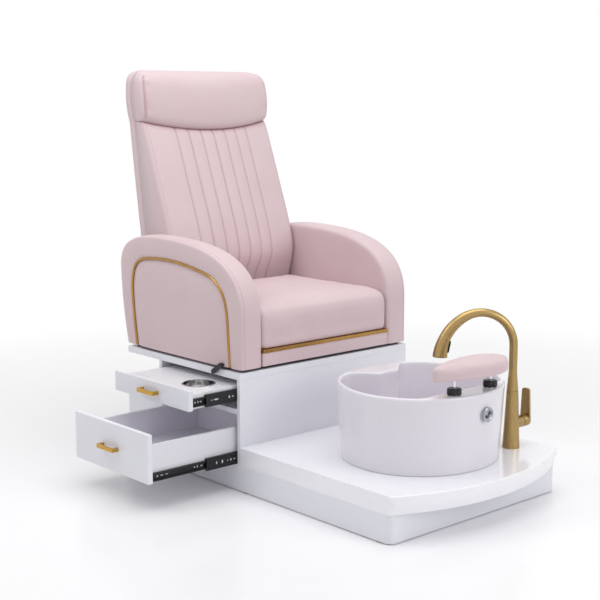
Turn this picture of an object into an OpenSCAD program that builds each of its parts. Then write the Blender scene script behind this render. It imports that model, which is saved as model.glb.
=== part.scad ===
// Pedicure spa chair: a base with a basin, a cabinet with a tray and a drawer, and a reclining seat.
// Millimetres. The origin is the centre of the base's footprint on the floor, +Z is up, the basin's
// end faces -Y and the drawers open towards -X. The tray and the drawer stand part open.

/* [Base] */
// Width of the base, side to side
base_w = 800; // [760:10:880]
// Length of the base, from the front apron to the back
base_l = 1354; // [1330:2:1400]
// Height of the plinth's top above the floor
plinth_h = 92; // [84:1:110]
// Thickness of the plinth's walls
plinth_wall = 18; // [14:1:24]
// Thickness of the bearer across the plinth's middle
bearer_t = 24; // [18:1:36]
// Radius of the plinth's front corners
plinth_corner_r = 26; // [15:1:60]
// Height of the rubber pads under the plinth
pad_h = 3; // [2:0.5:5]
// Diameter of the rubber pads
pad_d = 50; // [30:1:70]

/* [Deck] */
// Thickness of the moulded deck
deck_t = 59.5; // [50:0.5:70]
// How far the deck's front edge bows out past the apron
deck_bow = 102; // [80:1:120]
// How much less the lip's underside bows out
lip_undercut = 9; // [4:1:14]
// Height of the bevel under the lip
lip_bevel_h = 16; // [8:1:24]

/* [Cabinet] */
// Distance from the front apron to the cabinet's front face
cab_setback = 699; // [690:1:710]
// Height of the top plate's upper face above the floor
cab_top = 405; // [401:1:420]
// Thickness of the top plate
top_t = 23; // [18:1:26]
// Thickness of the front panel
panel_t = 15; // [12:1:18]
// Thickness of the divider and the side panels
board_t = 18; // [15:1:20]
// Thickness of the floor board and the back panel
thin_board_t = 12; // [9:1:14]
// Height of the divider's upper face above the floor
divider_top = 282; // [278:1:284]
// Length of the open niche under the rear of the top plate
niche_l = 550; // [450:10:650]
// Width of the drawer bay, between the front panel and the bay's rear wall
bay_w = 428; // [420:1:440]
// Clear gap between a panel and the drawer front beside it
reveal = 3; // [2:0.5:4]

/* [Drawer slides] */
// Height of the cabinet slide member
slide_h = 45; // [43:1:46]
// Thickness of a closed slide, from the cabinet to the drawer
slide_t = 13; // [12:0.5:14]
// Length of each slide member
slide_len = 450; // [430:5:470]
// Sheet thickness of the slides
slide_sheet = 1.5; // [1.2:0.1:2]
// Height of the drawer slide member
slide_inner_h = 28; // [24:1:30]
// Running gap between two slide members
slide_gap = 0.3; // [0.2:0.05:0.4]
// How far the slides start behind the base's side
slide_inset = 24; // [20:1:30]

/* [Drawer] */
// How far the drawer stands open
drawer_out = 363; // [300:1:380]
// How far its intermediate slide members stand out
drawer_mid_out = 152; // [120:1:180]
// Height of the drawer front
drawer_front_h = 161; // [150:1:165]
// Height of the drawer front's lower edge above the plinth
drawer_front_z = 4.5; // [3:0.5:6]
// Thickness of the drawer and tray fronts
front_t = 17.5; // [16:0.5:20]
// Depth of the drawer box
drawer_depth = 500; // [470:5:520]
// Height of the drawer box
drawer_box_h = 113; // [105:1:118]
// Thickness of the drawer box's boards
drawer_wall = 12; // [9:1:15]

/* [Tray] */
// How far the tray stands open
tray_out = 200; // [160:1:240]
// How far its intermediate slide members stand out
tray_mid_out = 151; // [120:1:170]
// Height of the tray front
tray_front_h = 68; // [64:1:70]
// Height of the tray front's lower edge above the divider
tray_front_z = 24.5; // [20:0.5:26]
// Height of the tray's top above the divider
tray_top_z = 77; // [72:1:84]
// Depth of the tray, from its front to its back
tray_depth = 480; // [470:5:500]
// Thickness of the tray's top board
tray_board_t = 9; // [6:1:12]
// Height of the slides' centre line above the tray front's lower edge
tray_slide_z = 24; // [23:0.5:30]
// Outer radius of the steel cup's wall
cup_r = 53; // [46:1:58]
// Depth of the cup below its rim
cup_depth = 46; // [36:1:50]
// Width of the cup's rolled rim
cup_rim = 5; // [3:0.5:7]
// Thickness of the cup's steel
cup_wall = 1.5; // [1:0.1:2.5]
// Distance from the tray front to the cup's centre
cup_x = 116; // [90:1:160]
// Distance of the cup's centre from the middle of the tray, towards the front panel
cup_y = 90; // [60:1:110]

/* [Pulls] */
// Length of the pulls
pull_len = 92; // [80:1:160]
// Height of the pulls' bar
pull_h = 13; // [9:1:16]
// Thickness of the pulls' bar
pull_t = 8; // [6:1:10]
// Gap for the fingers behind a pull's bar
pull_gap = 18; // [14:1:26]

/* [Basin] */
// Width of the basin at its rim
basin_w = 556; // [530:2:580]
// Length of the basin at its rim
basin_l = 507; // [490:1:530]
// Height of the basin above the deck
basin_h = 250; // [230:1:270]
// Thickness of the basin's wall
basin_wall = 14; // [11:1:18]
// Thickness of the basin's floor
basin_floor = 14; // [10:1:20]
// How far the basin's rim overhangs the front apron
basin_front = 10; // [0:1:20]
// How much the basin narrows down to its foot, on each side
basin_taper = 14; // [8:1:20]
// Depth of the ledge that carries the foot rest
ledge_d = 84; // [76:1:100]
// Distance from the basin's centre to the cusp between the heart's lobes
cusp_r = 158; // [140:1:180]
// Radius of the drain hole
drain_r = 24; // [20:1:28]

/* [Drain] */
// Outer radius of the outlet pipe
outlet_r = 20; // [16:0.5:22]
// Wall of the outlet pipe
outlet_wall = 3; // [2:0.5:4]
// Length of the outlet pipe behind the plinth
outlet_stub = 30; // [25:1:50]
// Outer radius of the trap's cup
trap_r = 36; // [32:1:42]
// Height of the drain knob above the deck
knob_z = 181; // [160:1:195]
// Distance of the drain knob from the basin's middle
knob_x = 18; // [0:1:50]
// Radius of the drain knob
drain_knob_r = 24; // [20:1:28]
// Thickness of the drain knob
drain_knob_t = 10; // [8:0.5:14]

/* [Faucet] */
// Distance of the faucet from the middle of the base
faucet_x = 287; // [280:1:300]
// Distance of the faucet from the front apron
faucet_y = 104; // [90:1:115]
// Radius of the faucet's body at the deck
faucet_base_r = 29; // [26:0.5:32]
// Radius of the faucet's body at its top, and of the neck that turns on it
faucet_top_r = 19.5; // [18:0.5:21]
// Height of the faucet's body
faucet_body_h = 194; // [180:1:210]
// Height at which the neck has tapered down to the tube
neck_h = 262; // [240:1:280]
// Outer radius of the spout's tube
tube_r = 14; // [12.5:0.5:15]
// Height at which the tube starts to bend
bend_z = 348; // [330:1:370]
// Radius of the bend, at the tube's centre
bend_r = 112; // [100:1:120]
// Angle of the bend, from the upright tube to the spray head
bend_angle = 163; // [155:1:168]
// Direction that the spout points in, from +X
spout_dir = 143; // [130:1:160]
// Length of the spray head
head_len = 74; // [65:1:90]
// Radius of the spray head at its outlet
head_r = 24; // [20:0.5:26]
// Height of the mixer's axis above the deck
mixer_z = 82; // [75:1:95]
// Radius of the mixer's arm
mixer_r = 20.5; // [19:0.5:22]
// Length of the mixer's arm, from the body's axis
mixer_len = 47; // [44:1:52]
// Height of the handle above the mixer's axis
handle_h = 110; // [95:1:125]

/* [Foot rest] */
// Length of the foot pad
footpad_l = 318; // [290:2:340]
// Width of the foot pad
footpad_w = 132; // [110:1:150]
// Thickness of the foot pad
footpad_t = 46; // [36:1:56]
// Height of the pad's underside above the basin's rim
footpad_z = 54; // [48:1:66]
// How far the foot pad's middle lies off the rods' middle, away from the tap
footpad_off = 18; // [0:1:24]
// Width of the plate under the foot pad
plate_w = 50; // [40:1:60]
// Distance between the two rods
rod_spacing = 172; // [150:1:190]
// Diameter of the rods
rod_d = 10; // [8:0.5:12]
// Distance of the rods behind the basin's front rim
rod_setback = 45; // [40:1:50]
// Depth of the rods below the rim
rod_depth = 100; // [85:1:120]
// Diameter of the clamp knobs
clamp_d = 46; // [40:1:54]
// Height of the clamp knobs
clamp_h = 22; // [18:1:26]

/* [Seat] */
// Width of the seat over both arms
seat_w = 786; // [770:2:798]
// Width of each arm
arm_w = 94; // [84:1:104]
// Distance from the front apron to the seat's front
seat_setback = 697; // [692:1:712]
// Length of the arms at their bottom
arm_l = 670; // [650:1:685]
// Height of the arms above the seat's base board
arm_h = 406; // [390:1:425]
// Height of the black base board under the seat
seat_base_t = 10; // [8:1:14]
// Height of the front rail
rail_h = 46; // [42:1:52]
// Height of the gold strip above the rail
strip_h = 12; // [9:1:14]
// Height of the seat cushion at its edge
cushion_h = 144; // [130:1:155]
// Rise of the cushion's crown above its edge
cushion_crown = 16; // [10:1:24]
// Length of the seat cushion
cushion_l = 533; // [520:1:536]
// Clearance between an upholstered piece and its neighbour
soft_gap = 0.4; // [0.3:0.1:0.8]
// Thickness of the seat board
seat_board_t = 12; // [9:1:15]
// Height of the straight part of the arms' front
arm_front_h = 170; // [150:5:190]
// Distance of the arms' highest point behind their front
arm_crest_y = 410; // [380:5:440]
// How far the arms' back bulges out over their bottom
arm_bulge = 40; // [25:1:48]
// How far the arms' sides are drawn in along their edges
arm_roll = 16; // [10:1:20]
// Distance of the gold piping behind the arm's front, at the bottom
piping_front = 61; // [50:1:75]
// Distance of the gold piping below the arm's highest point
piping_top = 81; // [65:1:95]
// Distance of the gold piping from the arm's back, at the bottom
piping_rear = 64; // [50:1:75]
// Width of the gold piping on the arms
piping_w = 9; // [7:0.5:12]
// Thickness of the gold piping
piping_t = 3; // [2:0.5:5]

/* [Back] */
// Height of the back's top above the floor
back_top = 1412; // [1380:1:1430]
// Height of the recline hinge above the seat's base board
hinge_z = 105; // [100:1:110]
// Distance of the recline hinge behind the seat's front
hinge_y = 608; // [602:1:612]
// Radius of the recline hinge's pins
pin_r = 8; // [6:0.5:9]
// Number of sewn channels in the back
channel_count = 6; // [4:1:8]
// Width of each channel
channel_w = 56; // [48:1:60]
// Depth of the seams between the channels
channel_depth = 9; // [5:1:12]
// How far the back's crown stands out in the middle
back_crown = 26; // [15:1:32]
// Height of the headrest's lower seam above the floor, at its side
headrest_z = 1224; // [1200:1:1240]
// How far the headrest's lower seam dips in the middle
headrest_dip = 34; // [20:1:45]
// How far the headrest stands out from the back
headrest_out = 30; // [20:1:40]
// How far the headrest's sides swell out past the back's
headrest_swell = 8; // [0:1:14]
// How much thicker the back's shell grows towards its top
shell_swell = 18; // [0:1:24]

/* [Recline] */
// Distance of the lever's axis behind the seat's front
lever_y = 93; // [80:1:110]
// Radius of the lever's shaft
lever_shaft_r = 5; // [4:0.5:5.5]
// Length of the lever's paddle
paddle_l = 58; // [45:1:65]
// Width of the lever's paddle
paddle_w = 16; // [12:1:24]
// Angle of the paddle behind the vertical
paddle_lean = 56; // [40:1:65]
// Radius of the gas spring's cylinder
gas_r = 11; // [9:0.5:12]
// Radius of the gas spring's rod
gas_rod_r = 5; // [4:0.5:6]
// Distance from the hinge down to the gas spring's pin
lug_r = 80; // [76:1:84]

/* [Hidden] */

$fn = 64;
front_y = -base_l / 2;
back_y = base_l / 2;
side_x = base_w / 2;
deck_z = plinth_h + deck_t;
cab_y = front_y + cab_setback;
bay_y0 = cab_y + panel_t;
bay_y1 = bay_y0 + bay_w;
bay_mid_y = (bay_y0 + bay_y1) / 2;
top_z = cab_top - top_t;
divider_z = divider_top - board_t;
fit = 0.05;          // radial clearance of a pin in its bore
seam = 0.3;          // clearance between two pieces that pass each other

// drawer and tray places, as they stand open
front_w = bay_w - reveal;
front_y0 = bay_y0;
slide_x = -side_x + slide_inset;
drawer_x = -side_x - drawer_out;
drawer_z = plinth_h + drawer_front_z;
drawer_slide_z = plinth_h + slide_h / 2;
box_lift = 9.5;      // height of the drawer's box above its front's lower edge
tray_x = -side_x - tray_out;
tray_z = divider_top + tray_front_z;
tray_axis_z = tray_z + tray_slide_z;
tray_top = divider_top + tray_top_z;
box_y0 = bay_y0 + slide_t;
box_y1 = bay_y1 - slide_t;

// basin
basin_y = front_y - basin_front + basin_l / 2;
rim_z = deck_z + basin_h;
basin_n = 72;
rear_power = 2.35;   // how square the basin's rear is, 2 is an ellipse
nose_half = 14;      // half of the angle that the cusp's blunt nose takes
nose_spread = 26;    // angle over which a lobe opens out from the nose

// drain
drain_z = deck_z + basin_floor;
trap_top = plinth_h - 10;
trap_bottom = pad_h + 6;
outlet_z = trap_top - outlet_r - 6;
spigot_out_r = outlet_r - 1;     // the outlet pipe's end, which takes a hose
inlet_r = 10.48;     // G 1/2 male thread
gland_r = 12.5;      // sleeve that holds an inlet in the plinth's back wall
gland_out = 3;       // how far the sleeve stands out behind the wall
inlet_bore = 6;
inlet_gap = 30;      // half of the distance between the two inlets
inlet_len = 20;
pipe_r = 5;
pipe_gap = 7;        // half of the distance between the pipes inside the shank
pipe_z = 60;
bush_r = 10;

// faucet
faucet_pos = [faucet_x, front_y + faucet_y, deck_z];
shank_r = 16;
spigot_r = 12;
spigot_len = 30;
cartridge_r = 15;
cartridge_x = 22;
pivot_x = mixer_len - 14;
cap_gap = 2.5;
cap_len = 29;
handle_tilt_r = 2;
button_l = 36;
button_w = 14;
button_z = 40;       // distance of the button's middle along the spray head

// foot rest
rod_y = basin_y - basin_l / 2 + rod_setback;
pad_z = rim_z + footpad_z;
plate_t = 3;
sleeve_r = rod_d / 2 + 3;
sleeve_h = 14;
flange_t = 2;

// seat
seat_y = front_y + seat_setback;
seat_z = cab_top + seat_base_t;
inner_w = seat_w - 2 * arm_w;
board_z = seat_z + rail_h;
cushion_z = board_z + strip_h;
rail_d = 16;
frame_w = 30;        // width of the seat frame's rails
frame_x = inner_w / 2 - 56;      // inner side of the seat frame's rails
ear_t = 6;           // thickness of the hinge plates
hinge = [0, seat_y + hinge_y, seat_z + hinge_z];
ear_r = 26;
lever_pos = [0, seat_y + lever_y, seat_z + lever_shaft_r + 2];
paddle_t = 7;
lug_rest = 20;       // angle of the gas spring's lug behind the hinge, upright
gas_y = hinge[1] + lug_r * sin(lug_rest);
gas_z = hinge[2] - lug_r * (1 + cos(lug_rest)) / 2;
gas_pin_r = 4;
gas_play = 2.9;      // play of the pin in the rod's eye
gas_len = 140;
gas_rod_len = 104;
gas_stroke = 2 * lug_r * sin(lug_rest);
gas_mouth = gas_y - 70;     // where the rod enters the gas spring
gas_foot = gas_mouth - gas_len - 18;
cross_h = 12;        // height of the seat frame's cross rails

// back, whose side view is given from the hinge upwards
back_w = inner_w - 6;
back_k = (back_top - hinge[2]) / 892;
back_foot = hinge[2] + 50;
shell_t = 22;
tail_w = 2 * (frame_x - 3);      // width of the shell's lower end, between the seat's rails
tail_h = 40;         // how far the shell reaches below the hinge
back_round = 46;     // radius of the back's top corners
bar_t = 7;
bar_w = 40;
bar_x = frame_x - 63;
bar_slope = 8.9;
bar_len = 370;

function lerp(a, b, t) = a + (b - a) * t;
function clamp01(t) = min(1, max(0, t));
function ease(t) = let (c = clamp01(t)) c * c * (3 - 2 * c);
function bez(p, t) = p[0] * pow(1 - t, 3) + p[1] * 3 * t * pow(1 - t, 2)
    + p[2] * 3 * t * t * (1 - t) + p[3] * pow(t, 3);
function signed_pow(v, e) = sign(v) * pow(abs(v), e);
function soft_min(a, b, k) = -k * ln(exp(-a / k) + exp(-b / k));

// A smooth line through [z, y] points: y at a height z
function spline(p, z, i = 0) = (i < len(p) - 2 && z > p[i + 1][0]) ? spline(p, z, i + 1)
    : let (a = p[max(i - 1, 0)], b = p[i], c = p[i + 1], d = p[min(i + 2, len(p) - 1)],
        h = c[0] - b[0], t = (z - b[0]) / h,
        m0 = (c[1] - a[1]) / (c[0] - a[0]) * h, m1 = (d[1] - b[1]) / (d[0] - b[0]) * h)
    (2 * t * t * t - 3 * t * t + 1) * b[1] + (t * t * t - 2 * t * t + t) * m0
        + (3 * t * t - 2 * t * t * t) * c[1] + (t * t * t - t * t) * m1;

// Closed outline moved inwards by d, for a list of [a, b] points that runs counter-clockwise
function inset(p, d) = let (n = len(p)) [for (i = [0:n - 1])
    let (u = p[(i + 1) % n] - p[(i + n - 1) % n], l = norm(u)) p[i] + [-u[1], u[0]] * d / l];

// A solid through closed rings of equal length, each counter-clockwise seen from the last ring
module loft(rings) {
    n = len(rings[0]);
    m = len(rings);
    function middle(r) = [for (k = [0:2]) let (s = [for (p = r) p[k]]) (max(s) + min(s)) / 2];
    points = concat([for (r = rings) each r], [middle(rings[0]), middle(rings[m - 1])]);
    sides = [for (i = [0:m - 2], j = [0:n - 1])
        let (a = i * n + j, b = i * n + (j + 1) % n, c = b + n, d = a + n) each [[a, d, c], [a, c, b]]];
    ends = [for (j = [0:n - 1]) let (k = (j + 1) % n, t = (m - 1) * n)
        each [[m * n, j, k], [m * n + 1, t + k, t + j]]];
    polyhedron(points, concat(sides, ends), convexity = 6);
}

// A slab between two grids of points, grid[row][column], front seen from -Y with rows upwards
module slab(front, rear) {
    m = len(front);
    n = len(front[0]);
    points = concat([for (r = front) each r], [for (r = rear) each r]);
    k = m * n;
    faces = concat(
        [for (i = [0:m - 2], j = [0:n - 2]) let (a = i * n + j, b = a + 1, c = b + n, d = a + n)
            each [[a, d, c], [a, c, b], [k + a, k + b, k + c], [k + a, k + c, k + d]]],
        [for (i = [0:m - 2], s = [0, 1]) let (a = i * n + s * (n - 1), d = a + n)
            each (s == 0 ? [[a, k + a, k + d], [a, k + d, d]] : [[a, d, k + d], [a, k + d, k + a]])],
        [for (j = [0:n - 2], s = [0, 1]) let (a = s * (m - 1) * n + j, b = a + 1)
            each (s == 0 ? [[a, b, k + b], [a, k + b, k + a]] : [[a, k + a, k + b], [a, k + b, b]])]);
    polyhedron(points, faces, convexity = 6);
}

// A board from corner p to corner q
module board(p, q) {
    translate(p) cube(q - p);
}

module rod_x(r, x0, x1) {
    translate([x0, 0, 0]) rotate([0, 90, 0]) cylinder(r = r, h = x1 - x0);
}

module rod_y(r, y0, y1) {
    translate([0, y0, 0]) rotate([-90, 0, 0]) cylinder(r = r, h = y1 - y0);
}

// ---- base ----

// Plinth outline with rounded front corners, drawn in by d
module plinth_outline(d) {
    w = base_w - 2 * d;
    r = plinth_corner_r - d;
    translate([-w / 2, front_y + d + r]) square([w, base_l - 2 * d - r]);
    translate([-w / 2 + r, front_y + d]) square([w - 2 * r, r + 1]);
    for (s = [-1, 1]) translate([s * (w / 2 - r), front_y + d + r]) circle(r);
}

module plinth() {
    cleat = thin_board_t;
    cleat_z = plinth_h - thin_board_t - cleat;
    color("white") difference() {
        union() {
            difference() {
                translate([0, 0, pad_h]) linear_extrude(plinth_h - pad_h) plinth_outline(0);
                translate([0, 0, pad_h - 1]) linear_extrude(plinth_h) plinth_outline(plinth_wall);
            }
            for (s = [-1, 1])
                translate([s * (side_x - plinth_wall - cleat / 2) - cleat / 2, bay_y0, cleat_z])
                    cube([cleat, back_y - plinth_wall - bay_y0, cleat]);
            b = side_x - plinth_wall + 1;
            board([-b, -bearer_t / 2, pad_h], [b, bearer_t / 2, plinth_h]);
            translate([0, 0, pad_h]) cylinder(d = pad_d, h = pad_h * 4);
        }
        translate([0, 0, outlet_z]) rod_y(outlet_r + seam, -bearer_t, back_y + 1);
        for (s = [-1, 1]) translate([faucet_x + s * inlet_gap, 0, pipe_z]) {
            rod_y(pipe_r + 1, -bearer_t, bearer_t);
            rod_y(gland_r + seam, back_y - plinth_wall - 1, back_y + 1);
        }
    }
}

module rubber_pads() {
    x = side_x - pad_d / 2 - 1;
    ys = [front_y + plinth_corner_r + pad_d / 2, 0, back_y - pad_d / 2 - 1];
    color("dimgray") for (sx = [-1, 1], y = ys)
        translate([sx * x, y, 0]) cylinder(d = pad_d, h = pad_h);
    color("dimgray") cylinder(d = pad_d, h = pad_h);
}

module deck() {
    r = (side_x * side_x + deck_bow * deck_bow) / (2 * deck_bow);
    cy = front_y - deck_bow + r;
    u = lip_undercut;
    color("white") difference() {
        intersection() {
            translate([0, cy, plinth_h]) rotate_extrude($fn = 128) polygon([[0, 0], [r - u, 0],
                [r - u * 0.8, lip_bevel_h / 2], [r - u * 0.4, lip_bevel_h], [r, deck_t * 0.6],
                [r - 0.2, deck_t - 3.5], [r - 1, deck_t - 1.2], [r - 3, deck_t], [0, deck_t]]);
            board([-side_x, cy - 2 * r, plinth_h], [side_x, cab_y, deck_z]);
        }
        translate([0, basin_y, plinth_h - 1]) cylinder(r = drain_r, h = deck_t + 2);
        translate([faucet_pos[0], faucet_pos[1], plinth_h - 1]) cylinder(r = shank_r + fit, h = deck_t + 2);
    }
}

module floor_board() {
    x = side_x - plinth_wall;
    color("gainsboro") board([-x, bay_y0, plinth_h - thin_board_t], [x, back_y - plinth_wall, plinth_h]);
}

module front_panel() {
    color("white") board([-side_x, cab_y, plinth_h], [side_x, bay_y0, top_z]);
}

module right_panel() {
    color("white") board([side_x - board_t, bay_y0, plinth_h], [side_x, back_y, top_z]);
}

module rear_left_panel() {
    color("white") board([-side_x, bay_y1, plinth_h], [-side_x + board_t, back_y, divider_z]);
}

// Back of the drawer's bay, and of the closed part beside the niche
module back_panel() {
    x = side_x - board_t;
    color("gainsboro") {
        board([-x, back_y - thin_board_t, plinth_h], [x, back_y, divider_z]);
        board([-side_x + niche_l, back_y - thin_board_t, divider_top], [x, back_y, top_z]);
        board([-side_x + niche_l, bay_y1 + panel_t, divider_top],
            [-side_x + niche_l + thin_board_t, back_y - thin_board_t, top_z]);
    }
}

module divider_board() {
    color("white") board([-side_x, bay_y0, divider_z], [side_x - board_t, back_y, divider_top]);
}

// Rear walls of the two bays, which carry the far slides
module bay_walls() {
    x = side_x - board_t;
    color("white") {
        board([-side_x, bay_y1, divider_top], [x, bay_y1 + panel_t, top_z]);
        board([-x, bay_y1, plinth_h], [x, bay_y1 + panel_t, divider_z]);
    }
}

module top_plate() {
    color("white") board([-side_x, cab_y, top_z], [side_x, back_y, cab_top]);
}

// ---- slides ----

// A channel of height h and depth d, open towards +Y, with its web at y = 0, along X from x0
module channel(x0, h, d, lip, web) {
    translate([x0, 0, -h / 2]) difference() {
        cube([slide_len, d, h]);
        translate([-1, web, lip]) cube([slide_len + 2, d, h - 2 * lip]);
    }
}

// Puts a slide's parts at both sides of a bay, the far one mirrored
module at_slides(z) {
    translate([0, bay_y0, z]) children();
    translate([0, bay_y1, z]) mirror([0, 1, 0]) children();
}

mid_h = slide_h - 2 * slide_sheet - 2 * slide_gap;
mid_lip = (mid_h - slide_inner_h) / 2 - slide_gap;

module cabinet_slides(z) {
    color("black") at_slides(z) channel(slide_x, slide_h, slide_t - 1, slide_sheet, slide_sheet);
}

module mid_slides(z, out) {
    d = slide_t - 1 - slide_sheet - slide_gap;
    color("black") at_slides(z) translate([0, slide_sheet + slide_gap, 0])
        channel(slide_x - out, mid_h, d, mid_lip, slide_sheet);
}

module inner_slides(z, out) {
    y0 = 2 * (slide_sheet + slide_gap);
    color("black") at_slides(z) difference() {
        translate([slide_x - out, y0, -slide_inner_h / 2]) cube([slide_len, slide_t - y0, slide_inner_h]);
        translate([slide_x - out - 1, y0 - 1, -slide_inner_h / 2 + 4])
            cube([slide_len + 2, slide_t - y0 - slide_sheet + 1, slide_inner_h - 8]);
    }
}

module drawer_cabinet_slides() { cabinet_slides(drawer_slide_z); }
module drawer_mid_slides() { mid_slides(drawer_slide_z, drawer_mid_out); }
module drawer_inner_slides() { inner_slides(drawer_slide_z, drawer_out); }
module tray_cabinet_slides() { cabinet_slides(tray_axis_z); }
module tray_mid_slides() { mid_slides(tray_axis_z, tray_mid_out); }
module tray_inner_slides() { inner_slides(tray_axis_z, tray_out); }

// ---- drawer and tray ----

// A bar pull on two legs, on a front whose face is at x, around height z
module pull(x, z) {
    color("goldenrod") translate([x, front_y0 + front_w / 2, z]) {
        translate([-pull_gap - pull_t, -pull_len / 2, -pull_h / 2]) cube([pull_t, pull_len, pull_h]);
        for (y = [-pull_len / 2, pull_len / 2 - pull_t])
            translate([-pull_gap - 1, y, -pull_h / 2]) cube([pull_gap + 1, pull_t, pull_h]);
    }
}

module drawer_front() {
    p = [drawer_x, front_y0, drawer_z];
    color("white") board(p, p + [front_t, front_w, drawer_front_h]);
}

module drawer_box() {
    x0 = drawer_x + front_t;
    z0 = drawer_z + box_lift;
    color("gainsboro") difference() {
        board([x0, box_y0, z0], [x0 + drawer_depth, box_y1, z0 + drawer_box_h]);
        board([x0 + drawer_wall, box_y0 + drawer_wall, z0 + drawer_wall],
            [x0 + drawer_depth - drawer_wall, box_y1 - drawer_wall, z0 + drawer_box_h + 1]);
    }
}

module drawer_pull() { pull(drawer_x, drawer_z + drawer_front_h / 2); }

module tray_front() {
    p = [tray_x, front_y0, tray_z];
    color("white") board(p, p + [front_t, front_w, tray_front_h]);
}

module at_cup() {
    translate([tray_x + front_t + cup_x, bay_mid_y - cup_y, tray_top]) children();
}

module tray_body() {
    x0 = tray_x + front_t;
    z0 = tray_z + 2;
    color("white") difference() {
        board([x0, box_y0, z0], [x0 + tray_depth, box_y1, tray_top]);
        board([x0 + drawer_wall, box_y0 + drawer_wall, z0 - 1],
            [x0 + tray_depth - drawer_wall, box_y1 - drawer_wall, tray_top - tray_board_t]);
        at_cup() translate([0, 0, -tray_board_t - 1]) cylinder(r = cup_r + seam, h = tray_board_t + 2);
    }
}

module tray_pull() { pull(tray_x, tray_z + tray_front_h / 2); }

module steel_cup() {
    r = cup_r;
    color("silver") at_cup() rotate_extrude() polygon([
        [0, -cup_depth], [r - 6, -cup_depth], [r - 1.5, -cup_depth + 2.5], [r, -cup_depth + 7], [r, 0],
        [r + cup_rim, 0], [r + cup_rim, cup_wall], [r - cup_wall, cup_wall + 0.6],
        [r - cup_wall, -cup_depth + 8], [r - 3, -cup_depth + 4], [r - 7, -cup_depth + cup_wall],
        [0, -cup_depth + cup_wall]]);
}

// ---- basin ----

function basin_outer(t, d) = let (
    e = 2 / (sin(t) > 0 ? rear_power : 2),
    p = [basin_w / 2 * signed_pow(cos(t), e), basin_l / 2 * signed_pow(sin(t), e)])
    p * (1 - d / norm(p));

// The heart: the outer wall less its thickness, a straight ledge in front and a blunt cusp behind
function heart(t, d) = let (
    p = basin_outer(t, 0),
    r = norm(p),
    a = atan2(p[1], p[0]),
    ledge = (basin_l / 2 - ledge_d) / max(-sin(a), 0.2),
    nose = cusp_r + 150 * ease((abs(a - 90) - nose_half) / nose_spread),
    wall = soft_min(r - basin_wall, a < 0 ? ledge : nose, 7))
    p / r * (wall - d);

function basin_ring(inner, d, z) = [for (i = [0:basin_n - 1]) let (t = 360 * i / basin_n,
    p = inner ? heart(t, d) : basin_outer(t, d)) [p[0], p[1] + basin_y, deck_z + z]];

// The angle that the basin's front wall turns at the drain knob, and the wall's point there
knob_inset = basin_taper * (1 - knob_z / basin_h);
knob_wall_y = -sqrt(1 - pow(knob_x / (basin_w / 2 - knob_inset), 2)) * (basin_l / 2 - knob_inset);
knob_turn = atan2(knob_x / pow(basin_w / 2, 2), -knob_wall_y / pow(basin_l / 2, 2));

module at_drain_knob() {
    translate([knob_x, basin_y + knob_wall_y, deck_z + knob_z]) rotate([90, 0, knob_turn]) children();
}

module at_rods() {
    for (s = [-1, 1]) translate([s * rod_spacing / 2, rod_y, rim_z]) children();
}

boss_t = 2.5;        // how far the drain knob's boss stands out of the wall
bush_depth = 24;

module basin() {
    outside = [[basin_taper, 0], [basin_taper, 6], [basin_taper * 0.85, 40], [basin_taper * 0.45, 120],
        [basin_taper * 0.1, 220], [0, 238], [0, 243], [2, 248], [5, 250]];
    inside = [[-5, 250], [-2, 248], [0, 243], [3, 150], [9, 60], [16, 36], [30, 22], [55, 15]];
    k = basin_h / 250;
    color("white") difference() {
        union() {
            loft(concat(
                [for (o = outside) basin_ring(false, o[0], o[1] * k)],
                [for (i = inside) basin_ring(true, i[0], lerp(basin_floor, basin_h, (i[1] - 14) / 236))],
                [basin_ring(true, cusp_r * 0.55, basin_floor)]));
            at_drain_knob() translate([0, 0, -10]) cylinder(r = drain_knob_r + 4, h = 10 + boss_t);
        }
        translate([0, basin_y, deck_z - 1]) cylinder(r = drain_r, h = basin_floor + 20);
        at_rods() translate([0, 0, -rod_depth - 35]) cylinder(r = sleeve_r + fit, h = rod_depth + 40);
        at_drain_knob() translate([0, 0, -bush_depth]) cylinder(r = bush_r + fit, h = bush_depth + 5);
    }
}

// ---- drain and supply ----

module drain_body() {
    r = drain_r - fit;
    z0 = trap_bottom + 13;
    color("silver") translate([0, basin_y, 0]) {
        difference() {
            union() {
                translate([0, 0, z0]) cylinder(r = r, h = drain_z - z0 + 1);
                translate([0, 0, drain_z]) cylinder(r = drain_r + 8, h = 2);
            }
            translate([0, 0, z0 - 1]) cylinder(r = r - 3.5, h = drain_z - z0 + 4);
        }
        difference() {
            translate([0, 0, drain_z - 20]) union() {
                cylinder(r = 6, h = 12);
                for (a = [0, 120, 240]) rotate(a) translate([4, -1.5, 0]) cube([r - 6, 3, 12]);
            }
            translate([0, 0, drain_z - 21]) cylinder(r = 3 + fit, h = 14);
        }
    }
}

module drain_plug() {
    color("silver") translate([0, basin_y, drain_z + 2]) {
        rotate_extrude() polygon([[0, 0], [drain_r + 2, 0], [drain_r + 2.5, 1.5], [drain_r, 3.2],
            [12, 4.6], [0, 5]]);
        translate([0, 0, -30]) cylinder(r = 3, h = 31);
    }
}

module trap() {
    r = 36;
    color("dimgray") translate([0, basin_y, 0]) difference() {
        union() {
            translate([0, 0, trap_bottom]) cylinder(r = r, h = trap_top - trap_bottom);
            translate([0, 0, outlet_z]) rod_y(outlet_r + 3.5, 26, r + 18);
        }
        translate([0, 0, trap_bottom + 3]) cylinder(r = r - 3, h = trap_top - trap_bottom - 6);
        translate([0, 0, trap_top - 4]) cylinder(r = drain_r, h = 5);
        translate([0, 0, outlet_z]) rod_y(outlet_r - outlet_wall, 24, r);
        translate([0, 0, outlet_z]) rod_y(outlet_r + fit, r - 1, r + 20);
    }
}

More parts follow.
